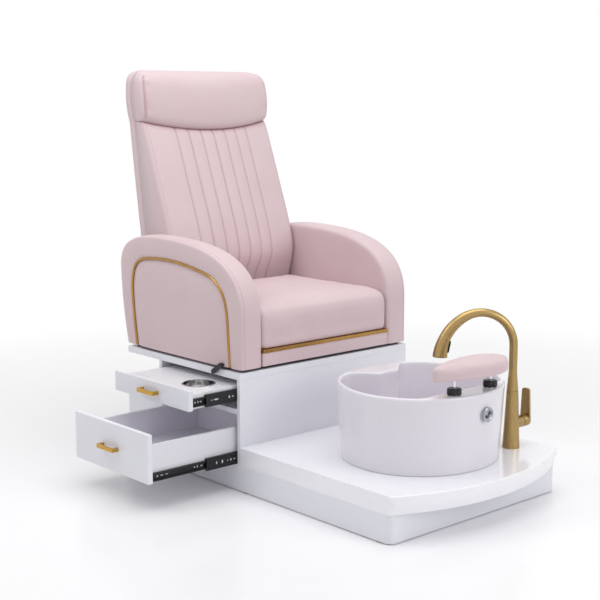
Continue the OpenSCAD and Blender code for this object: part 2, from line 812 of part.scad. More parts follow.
module outlet_pipe() {
    y0 = basin_y + 35;
    y1 = back_y + gland_out;
    y2 = y1 + outlet_stub;
    color("dimgray") translate([0, 0, outlet_z]) difference() {
        union() {
            rod_y(outlet_r, y0, y1);
            rod_y(spigot_out_r, y1 - 1, y2);
        }
        rod_y(outlet_r - outlet_wall, y0 - 1, y2 + 1);
    }
}

module drain_knob_seat() {
    color("silver") at_drain_knob() difference() {
        union() {
            translate([0, 0, -bush_depth + 1]) cylinder(r = bush_r, h = bush_depth + boss_t);
            translate([0, 0, boss_t]) cylinder(r = drain_knob_r + 2, h = 1.5);
        }
        translate([0, 0, -bush_depth + 3]) cylinder(r = 5 + fit, h = bush_depth + 10);
    }
}

module drain_knob() {
    r = drain_knob_r;
    t = drain_knob_t;
    color("silver") at_drain_knob() translate([0, 0, boss_t + 1.5]) {
        difference() {
            rotate_extrude() polygon([[0, 0], [r - 1, 0], [r, 1], [r, t - 2.5], [r - 1, t - 0.8],
                [r - 3, t], [r - 6, t - 0.6], [r - 8, t - 1.6], [0, t - 1.6]]);
            translate([-3, 6, t - 2.6]) cube([6, r - 15, 4]);
        }
        translate([0, 0, -bush_depth]) cylinder(r = 5, h = bush_depth + 1);
    }
}

module supply_pipes() {
    y0 = faucet_pos[1];
    y1 = back_y - plinth_wall;
    y2 = back_y + gland_out;
    color("silver") for (s = [-1, 1]) translate([faucet_x, 0, pipe_z]) {
        translate([s * inlet_gap, 0, 0]) {
            rod_y(pipe_r, y0, y1 - 3);
            translate([0, y0, 0]) sphere(r = pipe_r);
            rod_y(gland_r + 3, y1 - 4, y1);
            difference() {
                union() {
                    rod_y(gland_r, y1 - 1, y2);
                    rod_y(inlet_r, y2 - 1, y2 + inlet_len);
                }
                rod_y(inlet_bore, back_y - 5, y2 + inlet_len + 1);
            }
        }
        translate([0, y0, 0]) {
            rod_x(pipe_r, min(s * inlet_gap, s * pipe_gap), max(s * inlet_gap, s * pipe_gap));
            translate([s * pipe_gap, 0, 0]) sphere(r = pipe_r);
            translate([s * pipe_gap, 0, 0]) cylinder(r = pipe_r, h = deck_z + 20 - pipe_z);
        }
    }
}

// ---- faucet ----

module at_faucet() {
    translate(faucet_pos) children();
}

dome_r = norm([mixer_len - pivot_x, mixer_r]);
// Points [radius, x] of a ball of radius r around the handle's pivot
function dome(r, r0, r1) = [for (i = [0:8]) let (a = lerp(asin(r0 / r), asin(r1 / r), i / 8))
    [r * sin(a), pivot_x + r * cos(a)]];

module faucet_body() {
    below = deck_t + 25;
    color("goldenrod") at_faucet() difference() {
        union() {
            cylinder(r1 = faucet_base_r, r2 = faucet_top_r, h = faucet_body_h);
            translate([0, 0, -below]) cylinder(r = shank_r, h = below + 1);
            translate([0, 0, mixer_z]) {
                d = dome(dome_r, mixer_r, cartridge_r - 1);
                rotate([0, 90, 0]) rotate_extrude()
                    polygon(concat([[0, 0], [mixer_r, 0]], d, [[0, d[8][1]]]));
            }
        }
        translate([0, 0, -below - 1]) cylinder(r = shank_r - 3, h = below + 40);
        translate([0, 0, 30]) cylinder(r = 8, h = faucet_body_h);
        translate([0, 0, faucet_body_h - spigot_len - 0.5])
            cylinder(r = spigot_r + fit, h = spigot_len + 1);
        translate([0, 0, mixer_z]) rod_x(cartridge_r + fit, cartridge_x, mixer_len + 20);
        translate([0, 0, mixer_z]) rod_x(4, 0, cartridge_x + 1);
    }
}

module faucet_nut() {
    color("silver") at_faucet() translate([0, 0, -deck_t - 10]) difference() {
        cylinder(r = shank_r + 9, h = 10);
        translate([0, 0, -1]) cylinder(r = shank_r + fit, h = 12);
        for (a = [0:60:300]) rotate(a) translate([shank_r + 9, 0, -1]) cylinder(r = 3, h = 12);
    }
}

module at_spout() {
    at_faucet() rotate(spout_dir) children();
}

module spout() {
    wall = 1.5;
    r = tube_r - 0.2;
    z0 = faucet_body_h - spigot_len;
    color("goldenrod") at_spout() {
        rotate_extrude() polygon([[8, z0], [spigot_r, z0], [spigot_r, faucet_body_h],
            [faucet_top_r, faucet_body_h], [tube_r, neck_h], [r, neck_h + 1], [r, bend_z + 0.5],
            [r - 1.1, bend_z + 0.5], [r - 1.1, neck_h + 8], [8, neck_h]]);
        translate([bend_r, 0, bend_z]) rotate([90, 0, 0]) rotate(180 - bend_angle)
            rotate_extrude(angle = bend_angle) translate([bend_r, 0]) difference() {
                circle(r = tube_r);
                circle(r = tube_r - wall);
            }
    }
}

// Frame at the spout's end, z along the outlet and x towards the upright
module at_head() {
    at_spout() translate([bend_r * (1 - cos(bend_angle)), 0, bend_z + bend_r * sin(bend_angle)])
        rotate([0, bend_angle, 0]) children();
}

head_top_r = tube_r + 0.5;
head_slope = atan((head_r - head_top_r) / head_len);

module at_button() {
    at_head() translate([head_top_r + button_z * tan(head_slope), 0, button_z])
        rotate([0, head_slope, 0]) children();
}

// A plate with round ends, of length l and width w, thickness along x
module stadium(l, w, x0, x1) {
    translate([x0, 0, 0]) rotate([0, 90, 0]) linear_extrude(x1 - x0) {
        square([l - w, w], center = true);
        for (s = [-1, 1]) translate([s * (l - w) / 2, 0]) circle(d = w);
    }
}

module spray_head() {
    color("goldenrod") difference() {
        at_head() difference() {
            union() {
                translate([0, 0, seam]) cylinder(r1 = head_top_r, r2 = head_r, h = head_len - seam);
                translate([0, 0, -6]) cylinder(r = tube_r - 2, h = 7);
                translate([0, 0, -38]) cylinder(r = 4, h = 40);
            }
            translate([0, 0, head_len - 4]) cylinder(r = head_r - 3, h = 5);
            translate([0, 0, -39]) cylinder(r = 2.5, h = 60);
        }
        at_button() stadium(button_l + 2 * seam, button_w + 2 * seam, -8, 10);
    }
}

module spray_button() {
    color("black") at_button() stadium(button_l, button_w, -6, 2);
}

module mixer_cartridge() {
    color("dimgray") at_faucet() translate([0, 0, mixer_z]) difference() {
        rod_x(cartridge_r, cartridge_x + 0.3, mixer_len - 0.5);
        translate([pivot_x - 7, -4.3, -cartridge_r]) cube([mixer_len, 8.6, 2 * cartridge_r]);
        translate([pivot_x, 0, 0]) rod_y(handle_tilt_r + fit, -cartridge_r - 1, cartridge_r + 1);
        rod_x(3, cartridge_x - 1, cartridge_x + 6);
    }
}

module mixer_handle() {
    x0 = mixer_len + cap_gap;
    w0 = mixer_r - 0.5;
    w1 = mixer_r * 0.73;
    inner = dome_r + 0.5;
    color("goldenrod") at_faucet() translate([0, 0, mixer_z]) {
        rotate([0, 90, 0]) rotate_extrude() polygon(concat([[0, x0 + cap_len], [mixer_r - 1, x0 + cap_len],
            [mixer_r, x0 + cap_len - 1], [mixer_r, x0]],
            dome(inner, sqrt(inner * inner - pow(x0 - pivot_x, 2)), 0)));
        translate([x0 + cap_len - 8, 0, 0]) rotate([90, 0, 90]) linear_extrude(7.5) polygon(concat(
            [[-w0, 0], [w0, 0]],
            [for (a = [0:15:90]) [w1 - 9 + 9 * cos(a), handle_h - 9 + 9 * sin(a)]],
            [for (a = [90:15:180]) [-w1 + 9 + 9 * cos(a), handle_h - 9 + 9 * sin(a)]]));
        rod_x(4, pivot_x, x0 + cap_len - 10);
        translate([pivot_x, 0, 0]) rod_y(4, -4, 4);
        translate([pivot_x, 0, 0]) rod_y(handle_tilt_r, -11, 11);
    }
}

// ---- foot rest ----

module rod_sleeves() {
    color("silver") at_rods() difference() {
        union() {
            translate([0, 0, -rod_depth - 34]) cylinder(r = sleeve_r, h = rod_depth + 34 + sleeve_h);
            cylinder(r = sleeve_r + 8, h = flange_t);
        }
        translate([0, 0, -rod_depth - 35]) cylinder(r = rod_d / 2 + fit, h = rod_depth + sleeve_h + 40);
    }
}

module footrest_rods() {
    color("silver") {
        at_rods() translate([0, 0, -rod_depth])
            cylinder(d = rod_d, h = rod_depth + footpad_z - plate_t + 1);
        translate([0, rod_y, pad_z - plate_t]) linear_extrude(plate_t) {
            square([rod_spacing, plate_w], center = true);
            for (s = [-1, 1]) translate([s * rod_spacing / 2, 0]) circle(d = plate_w);
        }
    }
}

// Egg-shaped outline of the foot pad, drawn in by d
function egg(d, n = 40) = let (p = [for (i = [0:n - 1]) let (t = 360 * i / n)
    [footpad_l / 2 * cos(t), footpad_w / 2 * sin(t) * (1 + 0.36 * cos(t)) / 1.057]]) inset(p, d);

module footrest_pad() {
    rings = [[12, 0], [5, 2], [1, 7], [0, 13], [0, 17], [2, 19], [0, 21], [0, 26], [3, 31.5], [9, 36],
        [20, 38.8], [40, 40]];
    k = footpad_t / 40;
    color("pink") translate([-footpad_off, rod_y, pad_z])
        loft([for (r = rings) [for (p = egg(r[0])) [p[0], p[1], r[1] * k]]]);
}

module clamp_knob(s) {
    z0 = flange_t + seam;
    r = clamp_d / 2;
    color("black") translate([s * rod_spacing / 2, rod_y, rim_z + z0]) difference() {
        rotate_extrude() polygon([[0, 0], [r - 2, 0], [r, 2], [r, clamp_h - 4], [r - 2.5, clamp_h - 1.2],
            [r - 6, clamp_h], [0, clamp_h]]);
        for (a = [0:60:300]) rotate(a) translate([r + 4.5, 0, -1]) cylinder(r = 8, h = clamp_h + 2);
        translate([0, 0, -1]) cylinder(r = sleeve_r + fit, h = sleeve_h - z0 + 1.5);
        translate([0, 0, -1]) cylinder(r = rod_d / 2 + seam, h = clamp_h + 2);
    }
}

module clamp_knob_left() { clamp_knob(-1); }
module clamp_knob_right() { clamp_knob(1); }

// ---- seat ----

module seat_base() {
    x = seat_w / 2 - 21;
    color("black") board([-x, seat_y + 15, cab_top], [x, hinge[1] + ear_r - 1, seat_z]);
}

module seat_frame() {
    y0 = seat_y + rail_d;
    y1 = hinge[1] + ear_r - 1;
    x1 = frame_x + frame_w;
    color("dimgray") difference() {
        union() {
            for (s = [-1, 1]) {
                x = s > 0 ? frame_x : -x1;
                board([x, y0, seat_z], [x + frame_w, y1, board_z]);
                e = s > 0 ? x1 - 1 : -x1 - ear_t;
                board([e, hinge[1] - ear_r, seat_z], [e + ear_t + 1, hinge[1] + ear_r - 1, hinge[2]]);
                translate(hinge) rod_x(ear_r, e, e + ear_t + 1);
            }
            board([-x1 + 1, y0, seat_z], [x1 - 1, y0 + 24, board_z]);
            board([-x1 + 1, gas_foot - 20, seat_z], [x1 - 1, gas_foot + 16, seat_z + cross_h]);
            board([-x1 + 1, y1 - 14, seat_z], [x1 - 1, y1, seat_z + cross_h]);
            for (x = [-14, 8])
                board([x, gas_foot - 10, seat_z], [x + 6, gas_foot + 10, gas_z + 10]);
            translate([0, gas_foot, gas_z]) rod_x(gas_pin_r, -13, 13);
        }
        translate(hinge) rod_x(pin_r + fit, -x1 - ear_t - 1, x1 + ear_t + 1);
        translate(lever_pos) rod_x(lever_shaft_r + fit, -x1 - 1, -frame_x + 1);
    }
}

module seat_board() {
    x = inner_w / 2 - 1;
    color("tan") board([-x, seat_y + rail_d, board_z], [x, seat_y + cushion_l, board_z + seat_board_t]);
}

module seat_rail() {
    x = inner_w / 2 - soft_gap;
    color("pink") board([-x, seat_y, seat_z], [x, seat_y + rail_d - soft_gap, board_z]);
}

module gold_strip() {
    x = inner_w / 2 - soft_gap;
    color("goldenrod") board([-x, seat_y - 2, board_z], [x, seat_y + rail_d - soft_gap, cushion_z]);
}

// Outline of a w by l rectangle with corners of radius r and e parts to each side
function round_rect(w, l, r, e) = let (c = [[1, -1], [1, 1], [-1, 1], [-1, -1]], q = [w / 2 - r, l / 2 - r])
    [for (i = [0:3]) let (o = [c[i][0] * q[0], c[i][1] * q[1]], n = c[(i + 1) % 4],
        p = [n[0] * q[0], n[1] * q[1]], a = 90 * i)
        each concat([for (k = [0:4]) o + r * [cos(a - 90 + 22.5 * k), sin(a - 90 + 22.5 * k)]],
            [for (k = [1:e - 1]) lerp(o, p, k / e) + r * [cos(a), sin(a)]])];

module seat_cushion() {
    h = cushion_h;
    w = inner_w - 2 * soft_gap;
    l = cushion_l;
    side = [[8, 0], [2, 5], [0, 14], [0, h * 0.4], [0, h - 24], [2.5, h - 20], [0, h - 16], [1.5, h - 8],
        [6, h - 3]];
    crown = [[0.95, 0.1], [0.85, 0.32], [0.68, 0.6], [0.45, 0.84], [0.2, 0.97]];
    function flat(p, z) = [for (q = p) [q[0], q[1], z]];
    color("pink") translate([0, seat_y + l / 2, cushion_z]) loft(concat(
        [for (s = side) flat(round_rect(w - 2 * s[0], l - 2 * s[0], 26, 6), s[1])],
        [for (c = crown) flat(round_rect(w * c[0], l * c[0], 26, 6), h + cushion_crown * (c[1] - 0.1))]));
}

// Side view of an arm as [y, z] from the front's lower corner
function arm_outline() = let (f = arm_front_h, h = arm_h, c = arm_crest_y, b = arm_l + arm_bulge, n = 9,
    top = [[0, f], [0, f + (h - f) * 0.62], [c * 0.27, h - 8], [c, h]],
    rear = [[c, h], [lerp(c, b, 0.59), h + 9], [b, h - 13], [b, h - 113]],
    low = [[b, h - 113], [b - 2, h * 0.47], [b - 15, h * 0.25], [arm_l, 0]])
    concat([for (i = [0:3]) [arm_l * i / 4, 0]], [for (i = [0:4]) bez(low, 1 - i / 5)],
        [for (i = [0:n - 1]) bez(rear, 1 - i / n)], [for (i = [0:n - 1]) bez(top, 1 - i / n)],
        [for (i = [0:2]) [0, f * (1 - i / 3)]]);

module arm() {
    p = arm_outline();
    w = arm_w;
    r = arm_roll;
    // [distance from the arm's face, how far the outline is drawn in]
    rolls = [[0, r], [w * 0.03, r * 0.58], [w * 0.09, r * 0.24], [w * 0.17, r * 0.04], [w * 0.3, -1],
        [w * 0.5, -2]];
    across = concat(rolls, [for (i = [len(rolls) - 2:-1:0]) [w - rolls[i][0], rolls[i][1]]]);
    translate([inner_w / 2, seat_y, seat_z]) loft([for (a = across)
        [for (q = inset(p, a[1])) [a[0], q[0], q[1] < r + 0.01 ? 0 : q[1]]]]);
}

module arm_left() {
    notch = lever_shaft_r + 2.5;
    color("pink") difference() {
        mirror([1, 0, 0]) arm();
        translate(lever_pos) rod_x(notch, -seat_w / 2 - 9, -inner_w / 2 + 9);
        translate([-seat_w / 2 - 9, lever_pos[1] - notch, seat_z - 9])
            cube([arm_w + 18, 2 * notch, lever_pos[2] - seat_z + 9]);
    }
}

module arm_right() {
    color("pink") arm();
}

// Middle line of the arm's piping, as [y, z] from the arm's lower front corner
function piping_line() = let (f = piping_front, t = arm_h - piping_top, b = arm_l - piping_rear, n = 8,
    up = [[f, 0], [f + 20, t * 0.52], [f - 6, t - 72], [f + 110, t - 26]],
    over = [[f + 110, t - 26], [f + 250, t + 6], [b - 180, t + 14], [b - 50, t - 2]],
    down = [[b - 50, t - 2], [b + 34, t - 20], [b + 40, t - 90], [b, 0]])
    concat([for (i = [0:n - 1]) bez(up, i / n)], [for (i = [0:n - 1]) bez(over, i / n)],
        [for (i = [0:n]) bez(down, i / n)]);

module arm_piping() {
    p = piping_line();
    n = len(p);
    function side(d) = [for (i = [0:n - 1]) let (u = p[min(i + 1, n - 1)] - p[max(i - 1, 0)], l = norm(u),
        q = p[i] + [-u[1], u[0]] * d / l) [q[0], max(q[1], 1)]];
    a = side(-piping_w / 2);
    b = side(piping_w / 2);
    color("goldenrod") for (s = [-1, 1])
        translate([s > 0 ? seat_w / 2 : -seat_w / 2 - piping_t, seat_y, seat_z]) rotate([90, 0, 90])
            linear_extrude(piping_t) polygon(concat(a, [for (i = [n - 1:-1:0]) b[i]]));
}

// ---- back ----

function rear_at(z) = hinge[1] + spline(back_k * [[-40, 40], [274, 90], [452, 117], [636, 142], [783, 160],
    [892, 163]], z - hinge[2]);
function front_at(z) = hinge[1] + spline(back_k * [[48, -24], [60, -56], [76, -66], [95, -70], [212, -94],
    [310, -73], [450, -22], [594, 32], [703, 74]], z - hinge[2]);
function half_at(z) = let (t = clamp01((z - back_top + back_round) / back_round))
    back_w / 2 - back_round * (1 - sqrt(1 - t * t));
function seam_at(u) = headrest_z - headrest_dip * (1 - u * u);
function crown_at(u, z) = back_crown * (1 - u * u) * ease((z - hinge[2] - 100) / 110);

// Depth of the sewn channels at x
function channels_at(x) = let (h = channel_count * channel_w / 2, w = channel_w,
    m = abs((x + h + w / 2) % w - w / 2)) abs(x) > h + 8 ? 0 : channel_depth * exp(-m / 5);
// How far the front is drawn back at a distance from the side edge
function edge_at(e) = 9 * exp(-e / 3.5) + 4 * exp(-abs(e - 12) / 2.5);

module back_cushion() {
    hw = back_w / 2;
    h = channel_count * channel_w / 2;
    w = channel_w;
    side = [0, 5, 12, 19, 45, (hw - h) * 0.62, hw - h - 7];
    cols = concat([for (s = side) -hw + s],
        [for (k = [0:channel_count - 1], f = [0, 7, w / 2, w - 7]) -h + k * w + f],
        [h], [for (i = [len(side) - 1:-1:0]) hw - side[i]]);
    rows = [0, 0.015, 0.04, 0.075, 0.14, 0.24, 0.35, 0.47, 0.6, 0.73, 0.86, 0.96, 1];
    function z(x, t) = lerp(back_foot, seam_at(x / hw) - soft_gap, t);
    color("pink") slab(
        [for (t = rows) [for (x = cols) let (zz = z(x, t), e = hw - abs(x))
            [x, front_at(zz) - crown_at(x / hw, zz) + (t > 0.05 ? channels_at(x) : 0) + edge_at(e)
                + (t == 1 ? 8 : 0), zz]]],
        [for (t = rows) [for (x = cols) [x, rear_at(z(x, t)) - shell_t - soft_gap, z(x, t)]]]);
}

module headrest() {
    cols = [for (u = [0, 0.02, 0.045, 0.08, 0.2, 0.4, 0.6, 0.8]) u - 1];
    us = concat(cols, [0], [for (i = [len(cols) - 1:-1:0]) -cols[i]]);
    rows = [0, 0.03, 0.1, 0.22, 0.4, 0.58, 0.75, 0.87, 0.95, 0.985, 1];
    // how far the front bulges out, over the height of the headrest
    bulge = [[0, 0.47], [0.2, 0.8], [0.45, 1], [0.82, 0.62], [0.94, 0], [0.985, -0.7], [1, -1.15]];
    function z(u, t) = lerp(seam_at(u) + soft_gap, back_top, t);
    function side(z, t) = half_at(z) + headrest_swell * sin(180 * pow(t, 0.8));
    color("pink") slab(
        [for (t = rows) [for (u = us) let (zz = z(u, t), x = u * side(zz, t), e = (1 - abs(u)) * back_w / 2)
            [x, rear_at(zz) - 63 - headrest_out * spline(bulge, t)
                - back_crown * (1 - u * u) * (1 - pow(t, 6)) + edge_at(e) * (t > 0.9 ? 0.6 : 1)
                + (t == 0 ? 8 : 0), zz]]],
        [for (t = rows) [for (u = us) let (zz = z(u, t))
            [u * side(zz, t), rear_at(zz) - shell_t - soft_gap, zz]]]);
}

// The two bars in the back's shell, larger by c and reaching e further to the front
module back_bars(c, e) {
    for (s = [-1, 1]) translate([s * (bar_x + bar_w / 2), hinge[1] + 40, hinge[2] - 40])
        rotate([-bar_slope, 0, 0]) translate([-bar_w / 2 - c, -21 - c - e, 24 - c])
            cube([bar_w + 2 * c, bar_t + 2 * c + e, bar_len + 2 * c]);
}

module back_shell() {
    us = [-1, -0.985, -0.94, -0.6, -0.2, 0.2, 0.6, 0.94, 0.985, 1];
    z0 = hinge[2] - tail_h;
    z1 = back_foot + 30;
    rows = concat([z0, z0 + 6, lerp(z0, z1, 0.5), z1 - 8, z1],
        [for (t = [0.12, 0.28, 0.44, 0.52, 0.6, 0.68, 0.76, 0.82, 0.88, 0.95, 0.985, 1]) lerp(z1, back_top, t)]);
    function half(z) = z < z1 ? tail_w / 2 : half_at(z);
    function top(z) = z > back_top - 14 ? 9 * pow((z - back_top + 14) / 14, 2) : 0;
    function swell(z) = shell_swell * ease((z - hinge[2] + 20) / 260);
    color("pink") difference() {
        slab(
            [for (z = rows) [for (u = us) [u * half(z), rear_at(z) - shell_t, z]]],
            [for (z = rows) [for (u = us) [u * half(z), rear_at(z) + swell(z) - 6 * exp(-(1 - abs(u)) * 40)
                - top(z) - (z == z0 ? 5 : 0), z]]]);
        back_bars(seam, 9);
        board([-16, hinge[1], z0 - 1], [16, hinge[1] + 60, hinge[2] - 12]);
    }
}

module back_frame() {
    x1 = frame_x + frame_w;
    color("dimgray") {
        back_bars(0, 0);
        translate(hinge) {
            rod_x(12, -x1 + 1 + seam, x1 - 1 - seam);
            rod_x(pin_r, -x1 - ear_t - 4, x1 + ear_t + 4);
            for (x = [-bar_x - bar_w / 2, bar_x + bar_w / 2]) board([x - 10, 0, -12], [x + 10, 28, 12]);
            rotate([lug_rest, 0, 0]) {
                for (s = [-1, 1]) translate([s * 9.5 - 2.5, 0, 0]) {
                    translate([0, -10, -lug_r]) cube([5, 20, lug_r]);
                    translate([0, 0, -lug_r]) rod_x(10, 0, 5);
                }
                translate([0, 0, -lug_r]) rod_x(gas_pin_r, -12, 12);
            }
        }
    }
}

module gas_spring() {
    color("black") translate([0, 0, gas_z]) difference() {
        union() {
            rod_y(gas_r, gas_mouth - gas_len, gas_mouth);
            board([-6, gas_foot, -7], [6, gas_mouth - gas_len + 1, 7]);
            translate([0, gas_foot, 0]) rod_x(7, -6, 6);
        }
        rod_y(gas_rod_r + fit, gas_mouth - (gas_rod_len - 70) - gas_stroke - 4, gas_mouth + 1);
        translate([0, gas_foot, 0]) rod_x(gas_pin_r + fit, -7, 7);
    }
}

module gas_rod() {
    eye = gas_pin_r + gas_play;
    color("silver") translate([0, gas_y, gas_z]) difference() {
        union() {
            rod_y(gas_rod_r, -gas_rod_len, -eye - 1);
            rod_x(eye + 3, -6, 6);
        }
        rod_x(eye, -7, 7);
    }
}

module recline_lever() {
    x0 = -max(side_x, seat_w / 2 + 7) - 4 - paddle_t;
    color("black") translate(lever_pos) {
        rod_x(lever_shaft_r, x0 + 1, -frame_x + 4);
        rotate([paddle_lean, 0, 0]) {
            r = paddle_w / 2;
            translate([x0, -r, r - paddle_l]) cube([paddle_t, paddle_w, paddle_l - r]);
            for (z = [0, r - paddle_l]) translate([0, 0, z]) rod_x(r, x0, x0 + paddle_t);
        }
    }
}

plinth();
rubber_pads();
deck();
floor_board();
front_panel();
right_panel();
rear_left_panel();
back_panel();
divider_board();
bay_walls();
top_plate();
drawer_cabinet_slides();
drawer_mid_slides();
drawer_inner_slides();
drawer_box();
drawer_front();
drawer_pull();
tray_cabinet_slides();
tray_mid_slides();
tray_inner_slides();
tray_body();
tray_front();
tray_pull();
steel_cup();
basin();
drain_body();
drain_plug();
trap();
outlet_pipe();
drain_knob_seat();
drain_knob();
supply_pipes();
faucet_body();
faucet_nut();
spout();
spray_head();
spray_button();
mixer_cartridge();
mixer_handle();
rod_sleeves();
footrest_rods();
footrest_pad();
clamp_knob_left();
clamp_knob_right();
seat_base();
seat_frame();
seat_board();
seat_cushion();
seat_rail();
gold_strip();
arm_left();
arm_right();
arm_piping();
back_frame();
back_shell();
back_cushion();
headrest();
gas_spring();
gas_rod();
recline_lever();
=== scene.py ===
# %% [markdown]
# # A pedicure chair, dressed in Blender
# The chair's solids come from its CAD model, in metres, each already where it belongs.
# This lesson gives those solids their finishes, and makes the soft and rounded pieces
# again with bmesh, because upholstery and glazed acrylic need fuller shapes than solids.

import math

import bmesh
import bpy
from mathutils import Matrix, Vector


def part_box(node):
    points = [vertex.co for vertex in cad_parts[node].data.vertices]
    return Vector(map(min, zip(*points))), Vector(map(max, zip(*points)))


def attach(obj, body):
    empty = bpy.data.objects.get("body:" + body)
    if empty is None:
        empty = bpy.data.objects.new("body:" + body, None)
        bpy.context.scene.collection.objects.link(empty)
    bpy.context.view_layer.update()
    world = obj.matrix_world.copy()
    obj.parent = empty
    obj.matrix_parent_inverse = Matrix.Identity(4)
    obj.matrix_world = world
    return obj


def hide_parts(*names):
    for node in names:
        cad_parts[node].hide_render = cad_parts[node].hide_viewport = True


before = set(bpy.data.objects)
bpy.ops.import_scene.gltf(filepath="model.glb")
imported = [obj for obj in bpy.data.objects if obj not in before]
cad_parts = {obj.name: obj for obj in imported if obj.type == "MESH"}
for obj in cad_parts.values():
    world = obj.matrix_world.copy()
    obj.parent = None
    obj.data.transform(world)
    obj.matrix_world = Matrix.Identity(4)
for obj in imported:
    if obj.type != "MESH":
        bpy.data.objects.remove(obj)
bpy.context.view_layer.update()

# %% [markdown]
# ## Lengths
# Furniture is drawn in millimetres and Blender works in metres. Each shape below is
# built in millimetres and scaled once, when its mesh is handed over to an object.

# %% From millimetres to a finished object
MM = 0.001


def lerp(a, b, t):
    return a + (b - a) * t


def ease(t):
    t = min(1.0, max(0.0, t))
    return t * t * (3 - 2 * t)


def hand_over(bm, name, body, finish, replaces=(), rounds=0, flip=False, sharp=0):
    """Turns a bmesh in millimetres into an object that rides on a body."""
    bmesh.ops.remove_doubles(bm, verts=bm.verts, dist=0.01)
    if flip:
        bmesh.ops.recalc_face_normals(bm, faces=bm.faces)
    bmesh.ops.scale(bm, vec=(MM, MM, MM), verts=bm.verts)
    for face in bm.faces:
        face.smooth = True
    mesh = bpy.data.meshes.new(name)
    bm.to_mesh(mesh)
    bm.free()
    if sharp:
        mesh.set_sharp_from_angle(angle=math.radians(sharp))
    piece = bpy.data.objects.new(name, mesh)
    bpy.context.scene.collection.objects.link(piece)
    mesh.materials.append(finish)
    if rounds:
        round_off(piece, rounds)
    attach(piece, body)
    if replaces:
        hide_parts(*replaces)
    print(name, "has", len(mesh.polygons), "faces before smoothing")
    return piece


def round_off(piece, rounds):
    smooth = piece.modifiers.new("Smooth", "SUBSURF")
    smooth.levels = smooth.render_levels = rounds


# %% [markdown]
# ## The camera
# A long lens stands about four metres off, in front of the drawer's side and level with
# the headrest. It comes first, because every other choice is judged through it.

# %% Place the camera
lens = bpy.data.cameras.new("portrait_lens")
lens.lens = 74.33
lens.sensor_width = 36.0
camera = bpy.data.objects.new("portrait_camera", lens)
bpy.context.scene.collection.objects.link(camera)
LOOKS_DOWN, LOOKS_ACROSS = 9.154, 41.789
camera.location = (-2.9275, -3.1067, 1.3014)
camera.rotation_euler = (math.radians(90 - LOOKS_DOWN), 0, math.radians(-LOOKS_ACROSS))
bpy.context.scene.camera = camera
print("camera looks down by", LOOKS_DOWN, "degrees")

# %% [markdown]
# ## Light
# A white studio: one broad lamp from the front, a second from above and a weak one from
# the drawer's side. The world adds an even glow, and shows as plain white to the camera,
# in mirrors and through glass, so the pale backdrop needs no extra light on the chair.

# %% Lamps
def lamp(name, place, aim, size, watts):
    light = bpy.data.lights.new(name, "AREA")
    light.shape = "RECTANGLE"
    light.size, light.size_y = size
    light.energy = watts
    holder = bpy.data.objects.new(name, light)
    bpy.context.scene.collection.objects.link(holder)
    holder.location = place
    holder.rotation_euler = (Vector(aim) - Vector(place)).to_track_quat("-Z", "Y").to_euler()
    print(name, "gives", watts, "W")


lamp("front_softbox", (0.9, -3.8, 1.9), (0, -0.1, 0.35), (2.4, 1.6), 33)
lamp("top_softbox", (-0.2, -0.4, 3.6), (0, 0, 0.4), (3.0, 3.0), 56)
lamp("side_softbox", (-1.9, 0.9, 2.5), (-0.2, 0.6, 1.0), (1.2, 1.2), 13)

# %% World
GLOW, WHITE = 0.6, 1.0
world = bpy.data.worlds.new("white_studio")
world.use_nodes = True
bpy.context.scene.world = world
sky = world.node_tree
sky.nodes.clear()
path = sky.nodes.new("ShaderNodeLightPath")
choose = sky.nodes.new("ShaderNodeMixShader")
result = sky.nodes.new("ShaderNodeOutputWorld")
seen = path.outputs["Is Camera Ray"]
for ray in ("Is Glossy Ray", "Is Transmission Ray"):
    either = sky.nodes.new("ShaderNodeMath")
    either.operation = "MAXIMUM"
    sky.links.new(seen, either.inputs[0])
    sky.links.new(path.outputs[ray], either.inputs[1])
    seen = either.outputs[0]
sky.links.new(seen, choose.inputs[0])
for entry, strength in ((1, GLOW), (2, WHITE)):
    backdrop = sky.nodes.new("ShaderNodeBackground")
    backdrop.inputs["Color"].default_value = (1, 1, 1, 1)
    backdrop.inputs["Strength"].default_value = strength
    sky.links.new(backdrop.outputs[0], choose.inputs[entry])
sky.links.new(choose.outputs[0], result.inputs[0])
bpy.context.scene.view_settings.view_transform = "Standard"
print("world glows at", GLOW, "and shows at", WHITE)

# %% [markdown]
# ## Shader sums in plain Python
# A material is a graph of nodes. Written as sums it is far easier to read, so a small
# class wraps a socket, and each operator adds the Math node that does its work.

# %% Wires and finishes
class Wire:
    """A shader socket that takes part in Python sums."""

    def __init__(self, tree, socket):
        self.tree, self.socket = tree, socket

    def sum_of(self, operation, *values, clamp=False):
        node = self.tree.nodes.new("ShaderNodeMath")
        node.operation = operation
        node.use_clamp = clamp
        for entry, value in zip(node.inputs, values):
            plug(self.tree, entry, value)
        return Wire(self.tree, node.outputs[0])

    def __add__(self, other):
        return self.sum_of("ADD", self, other)

    def __sub__(self, other):
        return self.sum_of("SUBTRACT", self, other)

    def __rsub__(self, other):
        return self.sum_of("SUBTRACT", other, self)

    def __mul__(self, other):
        return self.sum_of("MULTIPLY", self, other)

    def __truediv__(self, other):
        return self.sum_of("DIVIDE", self, other)

    __radd__ = __add__
    __rmul__ = __mul__

    def above(self, edge, softness):
        """0 below the edge and 1 above it, with a soft step between them."""
        share = (self - (edge - softness / 2)) / softness
        return share.sum_of("MINIMUM", share, 1, clamp=True)


def plug(tree, entry, value):
    if isinstance(value, Wire):
        tree.links.new(value.socket, entry)
    else:
        entry.default_value = value


def paint(red, green, blue):
    """A colour as a painter's chart gives it, 0 to 255, made linear for the shader."""
    share = [v / 255 for v in (red, green, blue)]
    return (*[v / 12.92 if v <= 0.04045 else ((v + 0.055) / 1.055) ** 2.4 for v in share], 1.0)


